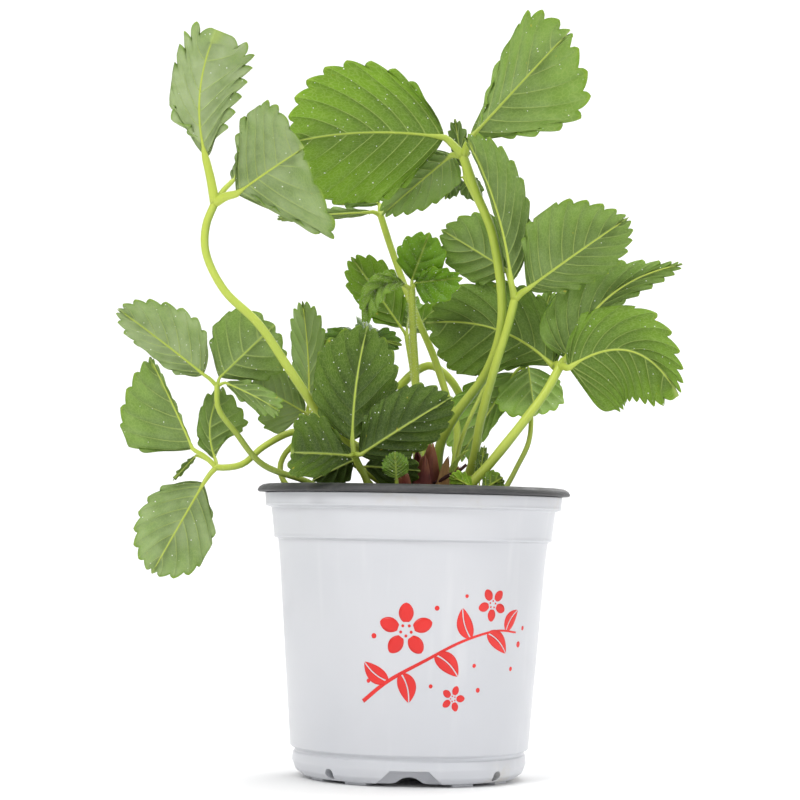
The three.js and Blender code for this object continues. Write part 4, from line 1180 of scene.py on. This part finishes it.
def grey_plastic():
    p = Paint("grey_liner_plastic")
    grain = p.noise(1800, 2)
    dust = p.noise(120, 5, 0.7)
    colour = p.mix(shade(54, 54, 56), shade(86, 85, 82), dust.step(0.45, 0.8) * 0.8)
    return p.finish(Base_Color=colour, Roughness=0.45 + dust.step(0.4, 0.8) * 0.25,
                    Normal=p.bump(grain + dust * 0.6, 0.00012, 0.6))


def soil_finish():
    p = Paint("peat_soil")
    clods = p.noise(160, 6, 0.7)
    grain = p.noise(900, 4, 0.7)
    colour = p.ramp(clods * 0.6 + grain * 0.4, (0.25, shade(28, 19, 14)), (0.55, shade(58, 41, 30)),
                    (0.8, shade(104, 80, 58)))
    return p.finish(Base_Color=colour, Roughness=0.9, Normal=p.bump(clods + grain * 0.5, 0.0012, 0.9))


def scale_finish():
    p = Paint("dried_crown_scales")
    streak, dry, fresh = p.marks()[:3]
    fibres = p.noise(1.0, 4, vector=p.place((1600, 1600, 90)))
    blot = p.noise(140, 3)
    colour = p.ramp(dry + (blot - 0.5) * 0.6, (0.0, shade(64, 20, 20)), (0.4, shade(104, 38, 32)),
                    (0.72, shade(134, 78, 44)), (1.0, shade(178, 138, 88)))
    colour = p.mix(colour, shade(44, 14, 14), fibres.step(0.5, 0.8) * 0.6 + streak * 0.15)
    lime = p.mix(shade(136, 164, 52), shade(186, 204, 106), fibres.step(0.35, 0.75))
    colour = p.mix(colour, lime, fresh)
    return p.finish(Base_Color=colour, Roughness=0.62 + (fibres - 0.5) * 0.2,
                    Normal=p.bump(fibres, 0.0004, 0.8))


def red_ink():
    p = Paint("red_print_ink")
    wear = p.noise(700, 4, 0.6)
    haze = p.noise(25, 3)
    colour = p.mix(shade(232, 46, 40), shade(214, 36, 32), haze.step(0.3, 0.7))
    colour = p.mix(colour, shade(240, 190, 186), wear.step(0.72, 0.86) * 0.4)
    return p.finish(Base_Color=colour, Roughness=0.38 + (haze - 0.5) * 0.2, Normal=p.bump(wear, 0.00004, 0.5))


def speckled_finish(name, first, second, grain, gloss, change):
    """One pale finish for bristles and drops, which are too small to show more."""
    p = Paint(name)
    patches = p.noise(grain, 2)
    return p.finish(Base_Color=p.mix(first, second, patches), Roughness=gloss + patches * change)


# ---------------------------------------------------------------- what grows on surfaces
class Growth:
    """A Geometry Nodes tree that sets one small shape many times on a surface."""

    def __init__(self, name, sizes):
        self.tree = bpy.data.node_groups.new(name, "GeometryNodeTree")
        self.tree.interface.new_socket("Geometry", in_out="INPUT", socket_type="NodeSocketGeometry")
        for size, kind in sizes.items():
            self.tree.interface.new_socket(size, in_out="INPUT", socket_type="NodeSocket" + kind)
        self.tree.interface.new_socket("Geometry", in_out="OUTPUT", socket_type="NodeSocketGeometry")
        self.entry = self.tree.nodes.new("NodeGroupInput")

    def given(self, name):
        return self.entry.outputs[name]

    def node(self, kind, settings=None, inputs=None, out=0):
        made = self.tree.nodes.new(kind)
        for name, value in (settings or {}).items():
            setattr(made, name, value)
        for name, value in (inputs or {}).items():
            socket = Paint.pick(made.inputs, name)
            if isinstance(value, bpy.types.NodeSocket):
                self.tree.links.new(value, socket)
            else:
                socket.default_value = value
        return Paint.pick(made.outputs, out)

    def scaled(self, vector, size):
        return self.node("ShaderNodeVectorMath", {"operation": "SCALE"}, {"Vector": vector, "Scale": size})

    def close(self, shape):
        leave = self.tree.nodes.new("NodeGroupOutput")
        self.tree.links.new(shape, leave.inputs[0])
        return self

    def grow_on(self, host, name, values):
        """The plain mesh that the tree makes on host, with its inputs set by their identifiers."""
        carrier = in_scene(name, host.data)
        modifier = carrier.modifiers.new(name, "NODES")
        modifier.node_group = self.tree
        for item in self.tree.interface.items_tree:
            if item.in_out == "INPUT" and item.name in values:
                modifier[item.identifier] = values[item.name]
        return plain(carrier)


SQUARE_METRE = 10000.0            # in square centimetres


def scattering(name, mark, shape):
    """Sets shape(growth) where the attribute mark asks for it, so many on each square centimetre."""
    g = Growth(name, {"Size": "Float", "Spread": "Float", "Tilt": "Float", "Seed": "Int",
                      "Finish": "Material"})
    wanted = g.node("GeometryNodeInputNamedAttribute", {"data_type": "FLOAT"}, {"Name": mark}, "Attribute")
    density = g.node("ShaderNodeMath", {"operation": "MULTIPLY"}, {0: wanted, 1: SQUARE_METRE})
    points = g.tree.nodes.new("GeometryNodeDistributePointsOnFaces")
    g.tree.links.new(g.given("Geometry"), points.inputs["Mesh"])
    g.tree.links.new(density, Paint.pick(points.inputs, "Density"))
    g.tree.links.new(g.given("Seed"), points.inputs["Seed"])
    tilt = g.scaled((1, 1, 0.2), g.given("Tilt"))
    lean = g.node("FunctionNodeRandomValue", {"data_type": "FLOAT_VECTOR"},
                  {"Min": g.scaled(tilt, -1.0), "Max": tilt, "Seed": g.given("Seed")})
    turn = g.node("FunctionNodeRotateRotation", {"rotation_space": "LOCAL"},
                  {0: points.outputs["Rotation"], 1: g.node("FunctionNodeEulerToRotation", {}, {0: lean})})
    least = g.node("ShaderNodeMath", {"operation": "MULTIPLY"}, {0: g.given("Size"), 1: g.given("Spread")})
    size = g.node("FunctionNodeRandomValue", {"data_type": "FLOAT"},
                  {"Min": least, "Max": g.given("Size"), "Seed": g.given("Seed")})
    placed = g.node("GeometryNodeInstanceOnPoints", {}, {
        "Points": points.outputs["Points"], "Instance": shape(g), "Rotation": turn, "Scale": size})
    real = g.node("GeometryNodeRealizeInstances", {}, {0: placed})
    return g.close(g.node("GeometryNodeSetMaterial", {}, {"Geometry": real, "Material": g.given("Finish")}))


def bristle_shape(g):
    """One metre high and thin: the tree's Size makes it as long as a hair."""
    return g.node("GeometryNodeMeshCone", {"fill_type": "TRIANGLE_FAN"},
                  {"Vertices": 3, "Radius Top": 0.006, "Radius Bottom": 0.03, "Depth": 1.0}, "Mesh")


def ball_shape(g):
    return g.node("GeometryNodeMeshIcoSphere", {}, {"Radius": 0.5, "Subdivisions": 2}, "Mesh")


def drop_shape(g):
    return g.node("GeometryNodeTransform", {}, {"Geometry": ball_shape(g), "Scale": (1, 1, 0.7)})


def crumb_shape(g):
    """A ball with its surface pushed in and out."""
    rough = g.node("ShaderNodeTexNoise", {}, {
        "Vector": g.node("GeometryNodeInputPosition"), "Scale": 2.4, "Detail": 2.0}, "Color")
    push = g.node("ShaderNodeVectorMath", {"operation": "SUBTRACT"}, {0: rough, 1: (0.5, 0.5, 0.5)})
    return g.node("GeometryNodeSetPosition", {}, {"Geometry": ball_shape(g), "Offset": g.scaled(push, 0.9)})


# ---------------------------------------------------------------- putting the plant together
def build_leaf(name, spec, paints):
    skin = Skin()
    long_stalk(skin, spec["stalk"], spec["thick"], LOOKS[name])
    for one in spec["blades"]:
        leaflet(skin, spec["stalk"][-1], spec["thick"][1], one, LOOKS[name])
    return skin.piece(name + "_dressed", paints)


def corners(box):
    return [list(corner) for corner in box]


def show(made, slot, *nodes):
    """Puts a finished piece on its body and hides the nodes that it stands for; slot is not used."""
    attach(made, "root")
    if nodes:
        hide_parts(*nodes)
    return made


# ---------------------------------------------------------------- camera, floor and light
PICTURE_PIXELS, SENSOR = 800, 36            # the picture's width, and the film's in mm
FOCAL_PIXELS = 2550
HORIZON_PIXELS = 127                        # from the picture's middle down to the horizon
CAMERA_ROLL = 1.1
CAMERA_AT = (-0.008, -1.306, 0.127)         # metres
BACKDROP = {"reach": 2600, "flat_to": 900, "curve": 600}
# Lamps: place and size in metres, power in watts
LAMPS = {
    "key": ((-1.0, -1.4, 1.6), 0.9, 22),
    "fill": ((1.5, -1.0, 0.7), 1.4, 9),
    "top": ((0.1, 0.1, 1.8), 1.1, 14),
    "back": ((0.6, 1.1, 1.2), 1.0, 8),
}
LAMPS_AIM = Vector((0, 0, 0.2))


def set_camera():
    pitch, roll = math.atan(HORIZON_PIXELS / FOCAL_PIXELS), math.radians(CAMERA_ROLL)
    ahead = Vector((0, math.cos(pitch), math.sin(pitch)))
    across, above = Vector((1, 0, 0)), Vector((0, -math.sin(pitch), math.cos(pitch)))
    right = math.cos(roll) * across + math.sin(roll) * above
    up = math.cos(roll) * above - math.sin(roll) * across
    data = bpy.data.cameras.new("viewer")
    data.lens, data.sensor_width = SENSOR * FOCAL_PIXELS / PICTURE_PIXELS, SENSOR
    data.clip_start, data.clip_end = 0.05, 20
    made = in_scene("viewer", data)
    turn = Matrix((right, up, -ahead)).transposed().to_4x4()
    made.matrix_world = Matrix.Translation(CAMERA_AT) @ turn
    bpy.context.scene.camera = made


def set_floor():
    """A pale floor that rises in a curve behind the plant."""
    reach, back, bend = BACKDROP["reach"], BACKDROP["flat_to"], BACKDROP["curve"]
    turn = np.linspace(0.1, math.pi / 2, 14)
    rise = [(back + bend * math.sin(t), bend - bend * math.cos(t)) for t in turn]
    curve = [(-reach, 0), (back, 0), *rise, (back + bend, reach)]
    skin = Skin()
    skin.add([(x, y, z) for y, z in curve for x in (-reach, reach)], grid_faces(len(curve), 2))
    paint = Paint("studio_floor").finish(Base_Color=shade(246, 246, 246), Roughness=0.9)
    skin.piece("studio_floor", [paint])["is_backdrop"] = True


def set_lights():
    world = bpy.data.worlds.new("studio")
    world.use_nodes = True
    world.node_tree.nodes["Background"].inputs["Color"].default_value = (1, 1, 1, 1)
    world.node_tree.nodes["Background"].inputs["Strength"].default_value = 0.5
    bpy.context.scene.world = world
    for name, (place, size, power) in LAMPS.items():
        data = bpy.data.lights.new(name, "AREA")
        data.size, data.energy = size, power
        made = in_scene(name, data)
        made.location = place
        made.rotation_euler = (LAMPS_AIM - Vector(place)).to_track_quat("-Z", "Y").to_euler()
    bpy.context.scene.view_settings.view_transform = "Standard"


def build_leaves():
    greens_under = (shade(56, 78, 22), shade(92, 124, 30), shade(124, 168, 10))
    greens_upper = (shade(36, 60, 14), shade(58, 94, 16), shade(92, 138, 0))
    bloom = shade(170, 186, 140)
    upper = leaf_finish("leaf_upper_face", greens_upper, shade(150, 176, 84), shade(150, 172, 70), 0.36,
                        False)
    under = leaf_finish("leaf_under_face", greens_under, bloom, shade(172, 192, 104), 0.55, True)
    young_under = leaf_finish("young_leaf_under", greens_under, bloom, shade(180, 200, 70), 0.5, True)
    # the third colour is the painted shade at the stalks' lower ends
    stalk = stalk_finish("leaf_stalk", shade(190, 206, 80), shade(104, 138, 32), shade(68, 84, 20),
                         shade(176, 118, 56))
    made = []
    for name, spec in {**LEAVES, **YOUNG_GROWTH}.items():
        young = name == "leaf_young" or name in YOUNG_GROWTH
        piece = build_leaf(name, spec, [upper, young_under if young else under, stalk])
        made.append(show(piece, "young_leaf" if young else "leaf", name))
    return made


def build_pot():
    plastic = white_plastic()
    wall = show(build_wall(plastic), "pot_plastic", "pot_wall")
    pads = show(build_pads(plastic), "pot_plastic")
    for made in (wall, pads):
        made.data.set_sharp_from_angle(angle=math.radians(SHARP_ANGLE))
    show(build_liner(grey_plastic()), "liner_plastic", "pot_liner")


def grow_small_things(leaves, soil):
    """Bristles on the stalks, dew on the blades and crumbs on the soil."""
    bristle = speckled_finish("pale_bristles", shade(214, 226, 178), shade(240, 244, 226), 300, 0.45, 0.1)
    drop = speckled_finish("dew_drops", shade(226, 236, 214), shade(250, 252, 246), 500, 0.12, 0.08)
    together = joined(leaves)
    hairs = scattering("bristles", "hair", bristle_shape).grow_on(together, "stalk_bristles", {
        "Size": 1.6 * MM, "Spread": 0.5, "Tilt": 0.35, "Seed": 3, "Finish": bristle})
    show(hairs, "young_leaf")
    dew = scattering("dew_drops", "dew", drop_shape).grow_on(together, "dew_on_blades", {
        "Size": 0.7 * MM, "Spread": 0.35, "Tilt": 0.0, "Seed": 8, "Finish": drop})
    show(dew, "leaf")
    bpy.data.objects.remove(together)
    loose = scattering("soil_crumbs", "hair", crumb_shape).grow_on(soil, "soil_crumbs", {
        "Size": 3.2 * MM, "Spread": 0.2, "Tilt": 1.5, "Seed": 5, "Finish": soil.data.materials[0]})
    show(loose, "soil")


def joined(pieces):
    """One body from copies of some pieces, to grow things on."""
    def gather(shell):
        for piece in pieces:
            shell.from_mesh(piece.data)
    return in_scene("growing_ground", reworked(bpy.data.meshes.new("growing_ground"), gather))


def main():
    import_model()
    solids = corners(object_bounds())
    leaves = build_leaves()
    build_pot()
    soil = show(build_soil(soil_finish()), "soil", "soil")
    show(build_crown(scale_finish()), "crown_scale", "crown")
    show(build_print(red_ink()), "pot_plastic")
    grow_small_things(leaves, soil)
    set_camera()
    set_floor()
    set_lights()
    {"solids": solids, "dressed": corners(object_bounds())}


main()
